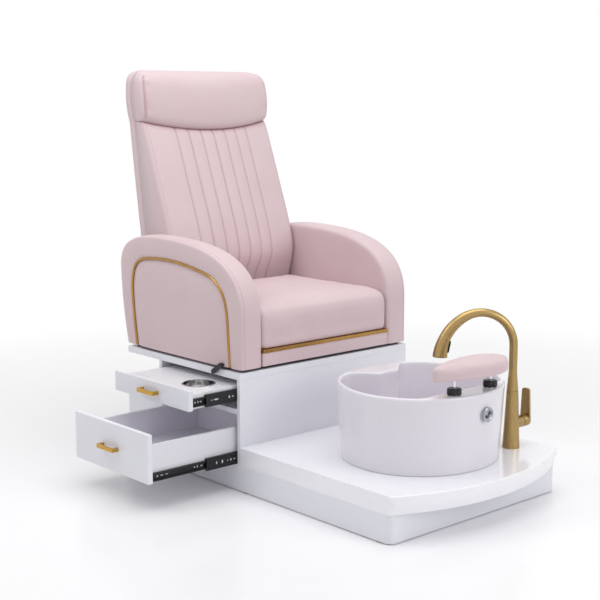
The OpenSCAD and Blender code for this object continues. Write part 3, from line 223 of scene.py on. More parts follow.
class Finish:
    """One material: its tree, its shader and the wires that reach it."""

    def __init__(self, name, colour, roughness, metallic=0.0, **fixed):
        self.material = bpy.data.materials.new(name)
        self.material.use_nodes = True
        self.tree = self.material.node_tree
        self.shader = self.tree.nodes["Principled BSDF"]
        self.set("Base Color", colour)
        self.set("Roughness", roughness)
        self.set("Metallic", metallic)
        for entry, value in fixed.items():
            self.set(entry.replace("_", " ").title().replace("Ior", "IOR"), value)
        self.place = self.node("ShaderNodeTexCoord", output="Object")

    def set(self, entry, value):
        plug(self.tree, self.shader.inputs[entry], value)

    def node(self, kind, settings=None, entries=None, output=0):
        made = self.tree.nodes.new(kind)
        for key, value in (settings or {}).items():
            if key == "stops":
                ramp = made.color_ramp
                for element, (at, colour) in zip(ramp.elements, value):
                    element.position, element.color = at, colour
            else:
                setattr(made, key, value)
        for key, value in (entries or {}).items():
            plug(self.tree, made.inputs[key], value)
        return Wire(self.tree, made.outputs[output])

    def stretched(self, scale):
        return self.node("ShaderNodeMapping", None, {"Vector": self.place, "Scale": scale})

    def noise(self, scale, detail=2.0, vector=None):
        entries = {"Vector": vector or self.place, "Scale": scale, "Detail": detail}
        return self.node("ShaderNodeTexNoise", None, entries)

    def mixed(self, share, first, second):
        return self.node("ShaderNodeMix", {"data_type": "RGBA"}, {0: share, 6: first, 7: second}, output=2)

    def bumps(self, height, strength, distance, before=None):
        entries = {"Height": height, "Strength": strength, "Distance": distance}
        if before:
            entries["Normal"] = before
        return self.node("ShaderNodeBump", None, entries)

    def axis(self, letter):
        return self.node("ShaderNodeSeparateXYZ", None, {"Vector": self.place}, "XYZ".index(letter))


# %% [markdown]
# ## Pink leather
# The cover is a soft coated leather: a fine pebble grain, faint clouds of colour where it
# is stretched, and a dull sheen. Voronoi cells make the pebbles and two noises make the
# clouds and the slow hand-made waviness that a flat bump never shows. Shade is also
# painted darker into the seams, stitch lines and creases.

# %% Leather
GRAIN = 620.0


def leather(name, colour, shade, seam):
    skin = Finish(name, colour, 0.46, sheen_weight=0.1, sheen_roughness=0.5, specular_ior_level=0.32)
    clouds = skin.noise(6.0, 2.0)
    # Painted shade: a mesh attribute darkens the cover along its seams, stitch lines and creases, towards the
    # last colour.
    crease_shade = skin.node("ShaderNodeAttribute", {"attribute_name": "seam"}, output="Fac")
    plain = skin.mixed(clouds.above(0.5, 0.8), shade, colour)
    skin.set("Base Color", skin.mixed(crease_shade, plain, seam))
    cells = {"Vector": skin.place, "Scale": GRAIN}
    pebbles = skin.node("ShaderNodeTexVoronoi", {"feature": "SMOOTH_F1"}, cells)
    waves = skin.noise(24.0, 2.0)
    creases = skin.noise(150.0, 3.0)
    skin.set("Roughness", 0.44 + 0.08 * clouds + 0.06 * pebbles)
    soft = skin.bumps(waves, 0.16, 0.004)
    fine = skin.bumps(pebbles + 0.5 * creases, 0.2, 0.0005, soft)
    skin.set("Normal", fine)
    return skin.material


# The last colour is the painted shade for the seams, stitch lines and creases.
pink_leather = leather("pink_leather", paint(212, 192, 195), paint(207, 185, 189), paint(168, 118, 126))
print("leather grain cell: about", round(1000 / GRAIN, 1), "mm")

# %% [markdown]
# ## White boards and acrylic
# The cabinet is laminated board with a satin face, the platform and the tub are glossy
# acrylic. All are nearly white, so it is the gloss and a trace of unevenness, seen in
# the reflections, that tells them apart.

# %% Whites
def white_skin(name, colour, roughness, coat, waviness):
    skin = Finish(name, colour, roughness, coat_weight=coat, coat_roughness=0.06, specular_ior_level=0.5)
    clouds = skin.noise(3.5, 2.0)
    skin.set("Roughness", roughness * 0.85 + roughness * 0.3 * clouds)
    dust = skin.noise(55.0, 2.0)
    skin.set("Base Color", skin.mixed(0.06 * dust.above(0.6, 0.2), colour, paint(205, 203, 205)))
    skin.set("Normal", skin.bumps(skin.noise(7.0, 1.0), waviness, 0.002))
    return skin.material


board_white = white_skin("board_white", paint(228, 228, 235), 0.34, 0.15, 0.05)
deck_white = white_skin("deck_white", paint(240, 240, 245), 0.2, 0.45, 0.04)
tub_white = white_skin("tub_white", paint(226, 222, 230), 0.24, 0.35, 0.03)
tray_white = white_skin("tray_white", paint(234, 234, 238), 0.28, 0.2, 0.04)

# %% [markdown]
# ## Brushed brass
# The tap and the trims are brass, brushed and lacquered. Brushing leaves long thin
# scratches: a noise squeezed across one direction gives them, in the roughness and as
# a very low bump.

# %% Metals
def brushed(name, colour, dark, roughness, along, strength=0.06):
    metal = Finish(name, colour, roughness, 1.0)
    lines = metal.noise(1.0, 3.0, metal.stretched(along))
    metal.set("Base Color", metal.mixed(lines.above(0.5, 0.6), dark, colour))
    metal.set("Roughness", roughness * 0.8 + roughness * 0.4 * lines)
    metal.set("Normal", metal.bumps(lines, strength, 0.0003))
    return metal.material


tap_brass = brushed("tap_brass", paint(184, 158, 108), paint(150, 124, 78), 0.3, (700, 700, 18))
trim_brass = brushed("trim_brass", paint(188, 148, 88), paint(146, 108, 56), 0.25, (900, 18, 18))
pull_brass = brushed("pull_brass", paint(212, 172, 84), paint(182, 138, 56), 0.3, (900, 20, 900))
cup_steel = brushed("cup_steel", paint(226, 226, 226), paint(200, 200, 202), 0.13, (60, 60, 900), 0.03)
pipe_brass = brushed("pipe_brass", paint(200, 170, 110), paint(170, 140, 85), 0.35, (30, 30, 30))


def smooth_metal(name, colour, roughness):
    metal = Finish(name, colour, roughness, 1.0)
    smears = metal.noise(40.0, 3.0)
    metal.set("Roughness", roughness + 0.08 * smears.above(0.55, 0.3))
    metal.set("Normal", metal.bumps(metal.noise(25.0, 1.0), 0.02, 0.001))
    return metal.material


chrome = smooth_metal("chrome", paint(222, 224, 228), 0.07)
knob_chrome = smooth_metal("knob_chrome", paint(172, 174, 180), 0.18)
grip_chrome = smooth_metal("grip_chrome", paint(96, 98, 102), 0.2)

# %% [markdown]
# ## Black, grey and wood
# Moulded plastic has a fine spark-eroded texture, powder coat a soft orange peel, and
# the hidden boards a plain grain.

# %% Plastics, powder coat, rubber and board
def moulded(name, colour, light, roughness, grain, strength, metallic=0.0):
    skin = Finish(name, colour, roughness, metallic, specular_ior_level=0.45)
    speckle = skin.noise(grain, 2.0)
    skin.set("Base Color", skin.mixed(0.5 * skin.noise(12.0, 2.0), colour, light))
    skin.set("Roughness", roughness * 0.85 + roughness * 0.3 * speckle)
    skin.set("Normal", skin.bumps(speckle, strength, 0.0004))
    return skin.material


knob_black = moulded("knob_black", paint(12, 12, 14), paint(24, 24, 27), 0.36, 900.0, 0.15)
slide_black = moulded("slide_black", paint(10, 10, 13), paint(18, 18, 22), 0.46, 500.0, 0.1)
hole_grey = moulded("hole_grey", paint(196, 195, 198), paint(214, 213, 216), 0.5, 500.0, 0.05)
frame_black = moulded("frame_black", paint(30, 30, 32), paint(44, 44, 46), 0.45, 400.0, 0.2)
base_black = moulded("base_black", paint(26, 25, 27), paint(40, 38, 40), 0.6, 300.0, 0.2)
foot_rubber = moulded("foot_rubber", paint(38, 38, 38), paint(54, 54, 54), 0.8, 500.0, 0.3)
trap_grey = moulded("trap_grey", paint(96, 98, 102), paint(112, 114, 118), 0.4, 300.0, 0.08)


def plywood(name):
    wood = Finish(name, paint(196, 165, 122), 0.6)
    grain = wood.noise(1.0, 4.0, wood.stretched((6, 90, 90)))
    wood.set("Base Color", wood.mixed(grain, paint(172, 136, 94), paint(210, 182, 142)))
    wood.set("Roughness", 0.5 + 0.2 * grain)
    wood.set("Normal", wood.bumps(grain, 0.2, 0.0006))
    return wood.material


seat_ply = plywood("seat_ply")

# %% [markdown]
# The drawer is one board box, white outside and lined inside. The lining's faint lilac
# tint is its own, but it is painted paler than the board, which paints light into the
# shade inside the box. It is painted by place: a point is lined where it lies within the box's inner walls.

# %% Lined drawer
WALL_IN, CRISP = 0.0115, 0.0005


def lined(name, outside, lightened_lining):
    low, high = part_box("drawer_box")
    skin = Finish(name, outside, 0.4, specular_ior_level=0.4)
    inside = 1.0
    for letter, k in (("X", 0), ("Y", 1)):
        along = skin.axis(letter)
        inside = inside * along.above(low[k] + WALL_IN, CRISP) * (1 - along.above(high[k] - WALL_IN, CRISP))
    inside = inside * skin.axis("Z").above(low[2] + WALL_IN, CRISP)
    felt = skin.noise(300.0, 3.0)
    # The lining colour is painted paler than the board, to light the shade inside the box.
    skin.set("Base Color", skin.mixed(inside, outside, lightened_lining))
    skin.set("Roughness", 0.32 + 0.35 * inside)
    skin.set("Normal", skin.bumps(felt * inside, 0.2, 0.0005))
    return skin.material


# The second colour, the lining, is painted paler than the outside as painted light inside the box.
drawer_board = lined("drawer_board", paint(224, 223, 229), paint(244, 241, 250))

# %% [markdown]
# ## Finishes on the solids
# Boards, metal parts and pipes are right as they come. Each gets its material, and the
# visible ones a Weld, because their triangles are loose, and a Bevel, because no real
# edge is sharp. Neither changes the solid itself.

# %% Dress the solids
WELD_WITHIN, SHARP_FROM = 0.00002, 38


def dress(finish, edge, *names, parts=2):
    for name in names:
        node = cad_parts[name]
        node.data.materials.clear()
        node.data.materials.append(finish)
        if edge:
            weld = node.modifiers.new("Weld", "WELD")
            weld.merge_threshold = WELD_WITHIN
            bevel = node.modifiers.new("Edges", "BEVEL")
            bevel.width = edge * MM
            bevel.segments = parts
            bevel.limit_method = "ANGLE"
            bevel.angle_limit = math.radians(SHARP_FROM)
            bevel.harden_normals = True


dress(board_white, 1.0, "plinth", "front_panel", "right_panel", "rear_left_panel")
dress(board_white, 1.0, "divider_board", "bay_walls")
dress(board_white, 1.2, "top_plate", "drawer_front", "tray_front")
dress(board_white, 0, "floor_board", "back_panel")
dress(tray_white, 0.8, "tray_body")
dress(drawer_board, 0.6, "drawer_box")
dress(slide_black, 0.3, "drawer_cabinet_slides", "drawer_mid_slides", "drawer_inner_slides")
dress(slide_black, 0.3, "tray_cabinet_slides", "tray_mid_slides", "tray_inner_slides")
dress(pull_brass, 1.2, "drawer_pull", "tray_pull", parts=3)
dress(tap_brass, 0, "faucet_body")
dress(tap_brass, 1.2, "mixer_handle", parts=3)
dress(trim_brass, 0.8, "gold_strip", parts=3)
dress(cup_steel, 0, "steel_cup", "drain_body")
dress(chrome, 0, "drain_plug", "drain_knob_seat", "rod_sleeves", "footrest_rods", "gas_rod")
dress(knob_black, 0.5, "recline_lever", "clamp_knob_left", "clamp_knob_right")
dress(knob_chrome, 0, "drain_knob")
dress(deck_white, 0.8, "deck")
dress(base_black, 1.0, "seat_base")
dress(frame_black, 0.8, "seat_frame", "back_frame")
dress(frame_black, 0, "gas_spring", "mixer_cartridge")
dress(foot_rubber, 0.5, "rubber_pads")
dress(trap_grey, 0, "trap", "outlet_pipe")
dress(pipe_brass, 0, "supply_pipes", "faucet_nut")
dress(seat_ply, 0, "seat_board")
print("finishes made:", len(bpy.data.materials))

# %% [markdown]
# ## Shapes drawn by pulling rings
# Upholstery, the tub and the trims are all one kind of shape: a closed line that
# changes as it travels. A ring of edges is extruded, the new ring is moved to its own
# outline, and so on. That is how a potter or an upholsterer would describe them too.

# %% Rings
def pull_rings(bm, rings, closed=True):
    """Extrudes the first ring through all the others. Returns the first and last rings."""
    first = [bm.verts.new(p) for p in rings[0]]
    pairs = list(zip(first, first[1:] + first[:1])) if closed else list(zip(first, first[1:]))
    edges = [bm.edges.new(pair) for pair in pairs]
    ring = first
    for points in rings[1:]:
        made = bmesh.ops.extrude_edge_only(bm, edges=edges)["geom"]
        fresh = {v for v in made if isinstance(v, bmesh.types.BMVert)}
        edges = [e for e in made if isinstance(e, bmesh.types.BMEdge)]
        edges = [e for e in edges if all(v in fresh for v in e.verts)]
        ring = [next(e.other_vert(v) for e in v.link_edges if e.other_vert(v) in fresh) for v in ring]
        for vert, point in zip(ring, points):
            vert.co = point
    return first, ring


def pull_capped(bm, rings):
    """Pulls the rings and closes the solid with a face at each end."""
    for end in pull_rings(bm, rings):
        bm.faces.new(end)


def bezier(p, t):
    s = 1 - t
    return [p[0][k] * s**3 + 3 * p[1][k] * s * s * t + 3 * p[2][k] * s * t * t + p[3][k] * t**3
            for k in (0, 1)]


def even(points, count):
    """The same line with its points spread evenly along it."""
    lengths = [0.0]
    for a, b in zip(points, points[1:]):
        lengths.append(lengths[-1] + math.dist(a, b))
    spread, i = [], 0
    for k in range(count):
        want = lengths[-1] * k / (count - 1)
        while i < len(points) - 2 and lengths[i + 1] < want:
            i += 1
        t = (want - lengths[i]) / (lengths[i + 1] - lengths[i])
        spread.append([lerp(a, b, t) for a, b in zip(points[i], points[i + 1])])
    return spread


# %% [markdown]
# ## Arms
# Each arm is a thick upholstered arch: a wide band over its edge, sewn to a side panel
# that swells between the seam and a brass trim. The cross-section is a list of steps
# from the sitter's side, over the top, to the outside, and each step is one arch
# somewhere between the arm's outline and the trim's line.

# %% The two arch lines
SEAT_Y, SEAT_Z = 20.0, 415.0


def arch_outline():
    top = [[0, 170], [0, 316], [111, 398], [410, 406]]
    rear = [[410, 406], [587, 415], [710, 393], [710, 293]]
    low = [[710, 293], [708, 191], [695, 101], [670, 0]]
    line = [[0, 0], [0, 60], [0, 120]]
    for curve in (top, rear, low):
        line += [bezier(curve, k / 40) for k in range(41)]
    return [p for k, p in enumerate(line) if k == 0 or math.dist(p, line[k - 1]) > 0.01]


def trim_line():
    up = [[61, 0], [81, 169], [55, 253], [171, 299]]
    over = [[171, 299], [311, 331], [426, 339], [556, 323]]
    down = [[556, 323], [640, 305], [646, 235], [606, 0]]
    line = [bezier(c, k / 40) for c in (up, over, down) for k in range(41)]
    return [p for k, p in enumerate(line) if k == 0 or math.dist(p, line[k - 1]) > 0.01]


ARCH_POINTS, ARCH_MIDDLE, ARM_FACE, SEAM_X = 190, 345, 350, 379.2
outline, trim = even(arch_outline(), ARCH_POINTS), even(trim_line(), ARCH_POINTS)


def pucker(k, t):
    """Small gathers where the cover turns the arch's corners, beside the trim."""
    turn = math.exp(-(((k - 66) / 13) ** 2)) + 0.6 * math.exp(-(((k - 128) / 12) ** 2))
    return 1.6 * math.sin(k * 1.9) * turn * math.exp(-(((t - 0.8) / 0.22) ** 2))


def arch(t, x):
    """The arch at a share t of the way from the outline (0) to the trim (1) and inwards (2)."""
    points = []
    for k, (a, b) in enumerate(zip(outline, trim)):
        if t <= 1:
            y, z = lerp(a[0], b[0], t), lerp(a[1], b[1], t)
        else:
            y, z = lerp(b[0], ARCH_MIDDLE, t - 1), lerp(b[1], 0, t - 1)
        gather = pucker(k, t) if x > ARM_FACE else 0
        points.append((x + gather, SEAT_Y + y, SEAT_Z + max(z, 0)))
    points[0] = (x, points[0][1], SEAT_Z)
    points[-1] = (x, points[-1][1], SEAT_Z)
    return points


def finer(keys, count):
    """The same list of steps with smooth steps between them."""
    steps = []
    for i in range(len(keys) - 1):
        a, b, c, d = keys[max(i - 1, 0)], keys[i], keys[i + 1], keys[min(i + 2, len(keys) - 1)]
        for j in range(count):
            t = j / count
            step = []
            for p, q, r, w in zip(a, b, c, d):
                square, cube = 2 * p - 5 * q + 4 * r - w, 3 * q - p - 3 * r + w
                step.append(0.5 * (2 * q + (r - p) * t + square * t * t + cube * t**3))
            steps.append(step)
    return steps + [list(keys[-1])]


# %% Both arms
arm_steps = [
    (2.0, 299.6), (1.5, 299.4), (1.0, 299.3), (0.6, 299.4), (0.35, 299.7), (0.2, 300.6), (0.12, 302.4),
    (0.06, 306),
    (0.02, 311), (0.0, 316), (-0.022, 327), (-0.034, 342), (-0.034, 357), (-0.024, 370), (-0.017, 375),
    (-0.0135, 377.4), (0.004, SEAM_X), (-0.0085, 381), (0.001, 384),
    (0.012, 386.6), (0.035, 389.4), (0.065, 391), (0.1, 391.9), (0.2, 393.4), (0.4, 395), (0.6, 395.2),
    (0.8, 394.2),
    (0.9, 392.8), (0.96, 391), (1.0, 389.6), (1.025, 390.4), (1.05, 392.6), (1.09, 395.4), (1.16, 397.8),
    (1.3, 399.4), (1.5, 400), (1.75, 400), (2.0, 400),
]
steps = finer(arm_steps, 3)
for name, node, side in (("arm_cover_left", "arm_left", -1), ("arm_cover_right", "arm_right", 1)):
    bm = bmesh.new()
    seam = bm.verts.layers.float.new("seam")
    rings = [[(side * p[0], p[1], p[2]) for p in arch(t, x)] for t, x in steps]
    pull_rings(bm, rings, closed=False)
    for vert in bm.verts:
        # Painted shade: a thin dark line along the seam between the band and the side panel.
        vert[seam] = 0.35 * math.exp(-(((abs(vert.co.x) - SEAM_X) / 1.0) ** 2))
    bmesh.ops.remove_doubles(bm, verts=bm.verts, dist=0.01)
    bmesh.ops.holes_fill(bm, edges=[e for e in bm.edges if e.is_boundary], sides=0)
    cover = hand_over(bm, name, "base", pink_leather, [node], flip=True, sharp=55)

# %% [markdown]
# The trim is a half-round brass strip that lies in the groove round the side panel.
# Its cross-section is pulled along the same line.

# %% Brass trim on the arms
TRIM_X, TRIM_WIDTH, TRIM_HEIGHT, TRIM_SUNK = 391.6, 11.2, 5.4, 1.5


def half_round(width, height, count=7):
    angles = [math.pi * k / (count - 1) for k in range(count)]
    bow = [(width / 2 * math.cos(a), height * math.sin(a) ** 0.8) for a in angles]
    return bow + [(-width / 2, -TRIM_SUNK), (width / 2, -TRIM_SUNK)]


bm = bmesh.new()
for side in (-1, 1):
    rings = []
    for k, point in enumerate(trim):
        ahead, behind = trim[min(k + 1, ARCH_POINTS - 1)], trim[max(k - 1, 0)]
        run = Vector((ahead[0] - behind[0], ahead[1] - behind[1])).normalized()
        across = Vector((-run.y, run.x))
        ring = []
        for wide, out in half_round(TRIM_WIDTH, TRIM_HEIGHT):
            y, z = SEAT_Y + point[0] + across.x * wide, max(point[1] + across.y * wide, 1.0)
            ring.append((side * (TRIM_X + out), y, SEAT_Z + z))
        rings.append(ring)
    pull_capped(bm, rings)
hand_over(bm, "arm_trim", "base", trim_brass, ["arm_piping"], rounds=1, flip=True)

# %% [markdown]
# ## Seat cushion
# A firm foam block in a sewn cover. It swells most in the middle of its top, its sides
# pull in at the corners and its upper edge is a soft roll.

# %% Seat cushion
def rounded_oblong(width, length, radius, per_corner=7, per_side=13):
    """A ring with straight sides and round corners."""
    points = []
    corners = [(1, -1), (1, 1), (-1, 1), (-1, -1)]
    for i, (cx, cy) in enumerate(corners):
        nx, ny = corners[(i + 1) % 4]
        ox, oy = cx * (width / 2 - radius), cy * (length / 2 - radius)
        px, py = nx * (width / 2 - radius), ny * (length / 2 - radius)
        for k in range(per_corner):
            a = math.radians(90 * i - 90 + 90 * k / (per_corner - 1))
            points.append((ox + radius * math.cos(a), oy + radius * math.sin(a)))
        a = math.radians(90 * i)
        for k in range(1, per_side):
            x, y = lerp(ox, px, k / per_side), lerp(oy, py, k / per_side)
            points.append((x + radius * math.cos(a), y + radius * math.sin(a)))
    return points


AIR, BREATHS = 4.0, 20


def settle(piece):
    """Puts what the modifiers make into the mesh itself."""
    made = bpy.data.meshes.new_from_object(piece.evaluated_get(bpy.context.evaluated_depsgraph_get()))
    piece.modifiers.clear()
    old, piece.data = piece.data, made
    bpy.data.meshes.remove(old)


def pump(piece, cell, cap, free):
    """Fills a closed cover with air. free(point) says how freely each point may move."""
    cells = piece.modifiers.new("Cells", "REMESH")
    cells.mode = "VOXEL"
    cells.voxel_size = cell * MM
    cells.use_smooth_shade = True
    settle(piece)
    before = [v.co.copy() for v in piece.data.vertices]
    cloth = piece.modifiers.new("Cover", "CLOTH")
    cloth.settings.use_pressure = True
    cloth.settings.uniform_pressure_force = AIR
    cloth.settings.effector_weights.gravity = 0.0
    cloth.collision_settings.use_collision = False
    cloth.point_cache.frame_start, cloth.point_cache.frame_end = 1, BREATHS
    for frame_number in range(1, BREATHS + 1):
        bpy.context.scene.frame_set(frame_number)
    blown = piece.evaluated_get(bpy.context.evaluated_depsgraph_get()).data
    after = [v.co.copy() for v in blown.vertices]
    piece.modifiers.remove(cloth)
    bpy.context.scene.frame_set(1)
    furthest = 0.0
    for vert, a, b in zip(piece.data.vertices, before, after):
        step = b - a
        length = step.length
        if length > 0:
            reach = cap * MM * math.tanh(length / (cap * MM)) * free(a / MM)
            vert.co = a + step * (reach / length)
            furthest = max(furthest, reach)
    print(piece.name, "filled: its cover moved up to", round(furthest / MM, 1), "mm")
    round_off(piece, 1)


CUSHION_Z, CUSHION_W, CUSHION_L, CUSHION_H = 473.0, 596.0, 532.0, 144.0
CORNER, SIDE_IN, FRONT_IN, CLEAR, SWELL = 24, 23, 44, 0.4, 9


def cushion_ring(edge, front, length, z):
    """A ring at a height z, whose front edge lies front behind the seat's own."""
    return [(x, y + SEAT_Y + front + length / 2 + CLEAR, z) for x, y in edge]


# how far the side and the front are drawn in, and the height
heights = [(12, 12, 0), (4, 5, 1.5), (1, 2, 7), (0, 0.5, 24), (0, 0, CUSHION_H * 0.4)]
# the same, with the depth below the top
depths = [(0, 0, 52), (0.2, 0.8, 42), (0.6, 3, 31), (1.6, 7.5, 20), (4, 14, 11), (8, 22, 5), (14, 32, 1.5),
          (SIDE_IN, FRONT_IN, 0)]
heights += [(side, front, CUSHION_H - below) for side, front, below in depths]
rings = []
for side, front, z in heights:
    length = CUSHION_L - side - front
    edge = rounded_oblong(CUSHION_W - 2 * side, length, CORNER)
    rings.append(cushion_ring(edge, front, length, CUSHION_Z + z))
for k in range(1, 14):
    s = 1 - k / 14
    edge = rounded_oblong((CUSHION_W - 2 * SIDE_IN) * s, length * s, CORNER * s)
    rings.append(cushion_ring(edge, FRONT_IN, length, CUSHION_Z + CUSHION_H + SWELL * (1 - s**2.2)))
bm = bmesh.new()
pull_capped(bm, rings)
seat = hand_over(bm, "seat_pad", "base", pink_leather, ["seat_cushion"], flip=True)


def seat_free(p):
    """The top is free, the front half free, and the sides and the bottom are held."""
    held_side = ease((CUSHION_W / 2 - abs(p.x)) / 26)
    front = 0.4 * ease((150 - p.y) / 60)
    top = ease((p.z - CUSHION_Z - CUSHION_H + 34) / 40)
    return max(top * max(held_side, 0.1), front * held_side * ease((p.z - CUSHION_Z) / 50))


pump(seat, 7.0, 12.0, seat_free)

# %% [markdown]
# ## Two-sided panels
# The back, its headrest and its rear cover are panels with a shaped front and a plain
# rear. Each starts as a grid, is copied, and the two grids' edges are bridged.

# %% Panels from two grids
def panel(columns, rows, front, rear):
    """A closed panel. front(u, v) gives a point and how much shade is painted into it there, rear(u, v) a point.
    """
    bm = bmesh.new()
    seam = bm.verts.layers.float.new("seam")
    bmesh.ops.create_grid(bm, x_segments=columns, y_segments=rows, size=1.0)
    copy = bmesh.ops.duplicate(bm, geom=bm.verts[:] + bm.edges[:] + bm.faces[:])["geom"]
    behind = {g for g in copy if isinstance(g, bmesh.types.BMVert)}
    for vert in bm.verts:
        u, v = vert.co.x, (vert.co.y + 1) / 2
        if vert in behind:
            vert.co = rear(u, v)
        else:
            vert.co, vert[seam] = front(u, v)
    rims = [e for e in bm.edges if e.is_boundary]
    bmesh.ops.bridge_loops(bm, edges=rims)
    return bm


def through(points, z):
    """A smooth line through (z, y) points, read at a height z."""
    i = 0
    while i < len(points) - 2 and z > points[i + 1][0]:
        i += 1
    a, b, c, d = points[max(i - 1, 0)], points[i], points[i + 1], points[min(i + 2, len(points) - 1)]
    h = c[0] - b[0]
    t = (z - b[0]) / h
    m0, m1 = (c[1] - a[1]) / (c[0] - a[0]) * h, (d[1] - b[1]) / (d[0] - b[0]) * h
    from_b, from_c = 2 * t**3 - 3 * t * t + 1, 3 * t * t - 2 * t**3
    return from_b * b[1] + (t**3 - 2 * t * t + t) * m0 + from_c * c[1] + (t**3 - t * t) * m1


# %% [markdown]
# ## The reclining back
# Six narrow sewn channels run up the middle between two plain bolsters. The channels
# are shallow pillows between stitched valleys, and the valleys run out where the back
# meets the seat. The headrest is a roll that overhangs the channels.

# %% Lines of the back
HINGE_Y, HINGE_Z, TOP_Z = 628.0, 520.0, 1412.0
HALF, CHANNEL, REACH, SHELL = 296.0, 56.0, 168.0, 22.0
TOP_ROUND, GAP = 46, 0.4


def rear_y(z):
    line = [(-40, 40), (274, 90), (452, 117), (636, 142), (783, 160), (892, 163)]
    return HINGE_Y + through(line, z - HINGE_Z)


def front_y(z):
    line = [(48, -24), (60, -56), (76, -66), (95, -70), (212, -94), (310, -73), (450, -22), (594, 32),
            (703, 74)]
    return HINGE_Y + through(line, z - HINGE_Z)


def half_width(z):
    t = min(1.0, max(0.0, (z - TOP_Z + TOP_ROUND) / TOP_ROUND))
    return HALF - TOP_ROUND * (1 - math.sqrt(1 - t * t))


def seam_z(u):
    """The curved seam between the back and the headrest."""
    return 1224 - 34 * (1 - u * u)


def from_stitches(x):
    """How far x is from the nearest line of stitches, with a sign."""
    return (x + REACH + CHANNEL / 2) % CHANNEL - CHANNEL / 2


def channel_depth(x):
    """How far the stitching draws the cover in."""
    if abs(x) > REACH + 22:
        return 0.0
    m = abs(x) - REACH if abs(x) > REACH else abs(from_stitches(x))
    stitch = 4.0 * math.exp(-((m / 2.6) ** 1.3))
    if abs(x) < REACH:
        return stitch + 4.2 * (1 - math.sin(min(m / (CHANNEL / 2), 1) * math.pi / 2))
    return stitch + 2.5 * math.exp(-m / 14)


def stitched(x):
    """1 on a line of stitches and 0 away from it."""
    if abs(x) > REACH + 12:
        return 0.0
    return math.exp(-((from_stitches(x) / 2.8) ** 2))


def side_roll(e, radius=15.0):
    """How far the front falls back within a radius of the panel's side edge."""
    fall = radius * (1 - math.sqrt(max(0.0, 1 - (1 - e / radius) ** 2))) if e < radius else 0
    return fall + 2.2 * math.exp(-(((e - 13) / 2.2) ** 2))


# %% Back pad
COLUMNS, ROWS, BACK_FOOT = 236, 96, 570


def back_front(u, v):
    x = HALF * u
    z = lerp(BACK_FOOT, seam_z(u) - GAP, v**1.05)
    crown = 26 * (1 - u * u) * ease((z - 620) / 110)
    e = HALF - abs(x)
    tuck = 9 * math.exp(-(1 - v) * 60)
    y = front_y(z) - crown + channel_depth(x) * ease((z - 590) / 30) + side_roll(e) + tuck
    # Painted shade along the stitch lines, along the top edge under the headrest's overhang and in the crease
    # beside the side roll.
    crease_shade = 0.38 * stitched(x) + 0.6 * math.exp(-(1 - v) * 110) + 0.15 * math.exp(-(((e - 13) / 3) ** 2))
    return (x, y, z), min(crease_shade, 1)


def back_rear(u, v):
    z = lerp(BACK_FOOT, seam_z(u) - GAP, v**1.05)
    return (HALF * u, rear_y(z) - SHELL - GAP, z)


bm = panel(COLUMNS, ROWS, back_front, back_rear)
pad = hand_over(bm, "back_pad", "backrest", pink_leather, ["back_cushion"], flip=True)

# %% Headrest
BULGE = [(0, 0.4), (0.1, 0.78), (0.25, 0.97), (0.45, 1.03), (0.7, 0.86), (0.86, 0.52), (0.94, 0.05),
         (0.985, -0.65), (1, -1.1)]
HEAD_SWELL, NECK, HEAD_DEPTH = 8, 63, 30


def head_side(z, v):
    return half_width(z) + HEAD_SWELL * math.sin(math.pi * v**0.8)


def head_front(u, v):
    z = lerp(seam_z(u) + GAP, TOP_Z, v)
    e = (1 - abs(u)) * HALF
    crown = 26 * (1 - u * u) * (1 - v**6)
    over = ease(v / 0.12) * ease((0.93 - v) / 0.1)
    crease = (8 if u < 0 else 3) * math.exp(-(((e - 15) / 5) ** 2)) * over
    gather = 1.3 * math.sin(v * 23 + 2 * math.sin(v * 7)) * math.exp(-(((e - 24) / 12) ** 2)) * over
    ends = 5 * math.exp(-e / 14)
    tuck = 9 * math.exp(-v * 45)
    roll = side_roll(e) * (1 if v < 0.9 else 0.6)
    y = rear_y(z) - NECK - HEAD_DEPTH * through(BULGE, v) - crown + roll + ends + crease + gather + tuck
    # Painted shade along the headrest's lower edge, where it overhangs the back, and in the crease beside each
    # side, deeper on the left.
    crease_shade = 0.5 * math.exp(-v * 75) + (0.3 if u < 0 else 0.12) * math.exp(-(((e - 15) / 4) ** 2)) * over
    return (u * head_side(z, v), y, z), min(crease_shade, 1)


def head_rear(u, v):
    z = lerp(seam_z(u) + GAP, TOP_Z, v)
    return (u * head_side(z, v), rear_y(z) - SHELL - GAP, z)


bm = panel(210, 80, head_front, head_rear)
head = hand_over(bm, "head_pad", "backrest", pink_leather, ["headrest"], flip=True)

# %% Rear cover
TONGUE_HALF, TONGUE_TOP, COVER_FROM = 240, 590, 600


def cover_half(z):
    if z < COVER_FROM:
        return TONGUE_HALF
    share = max(0, (z - seam_z(1)) / (TOP_Z - seam_z(1)))
    return half_width(z) + HEAD_SWELL * math.sin(math.pi * share**0.8)


def cover_rear(u, v):
    z = lerp(480, TOP_Z, v)
    e = (1 - abs(u)) * HALF
    top = 9 * max(0, (z - TOP_Z + 14) / 14) ** 2
    swell = 3 * (1 - u**4) * math.sin(math.pi * v)
    half = lerp(TONGUE_HALF, cover_half(z), ease((z - TONGUE_TOP) / 14))
    groove = 1.5 * math.exp(-(((e - 16) / 2.5) ** 2))
    y = rear_y(z) + 18 * ease((z - HINGE_Z + 20) / 260) - 5 * math.exp(-e / 5) - top - 3 + swell - groove
    return (u * half, y, z)


def cover_front(u, v):
    x, _, z = cover_rear(u, v)
    return (x, rear_y(z) - SHELL, z), 0.0


bm = panel(90, 110, cover_front, cover_rear)
shell = hand_over(bm, "back_cover", "backrest", pink_leather, ["back_shell"], flip=True)

# %% [markdown]
# ## Rail under the cushion
# A board wrapped in the same leather closes the seat's front, below the brass strip.

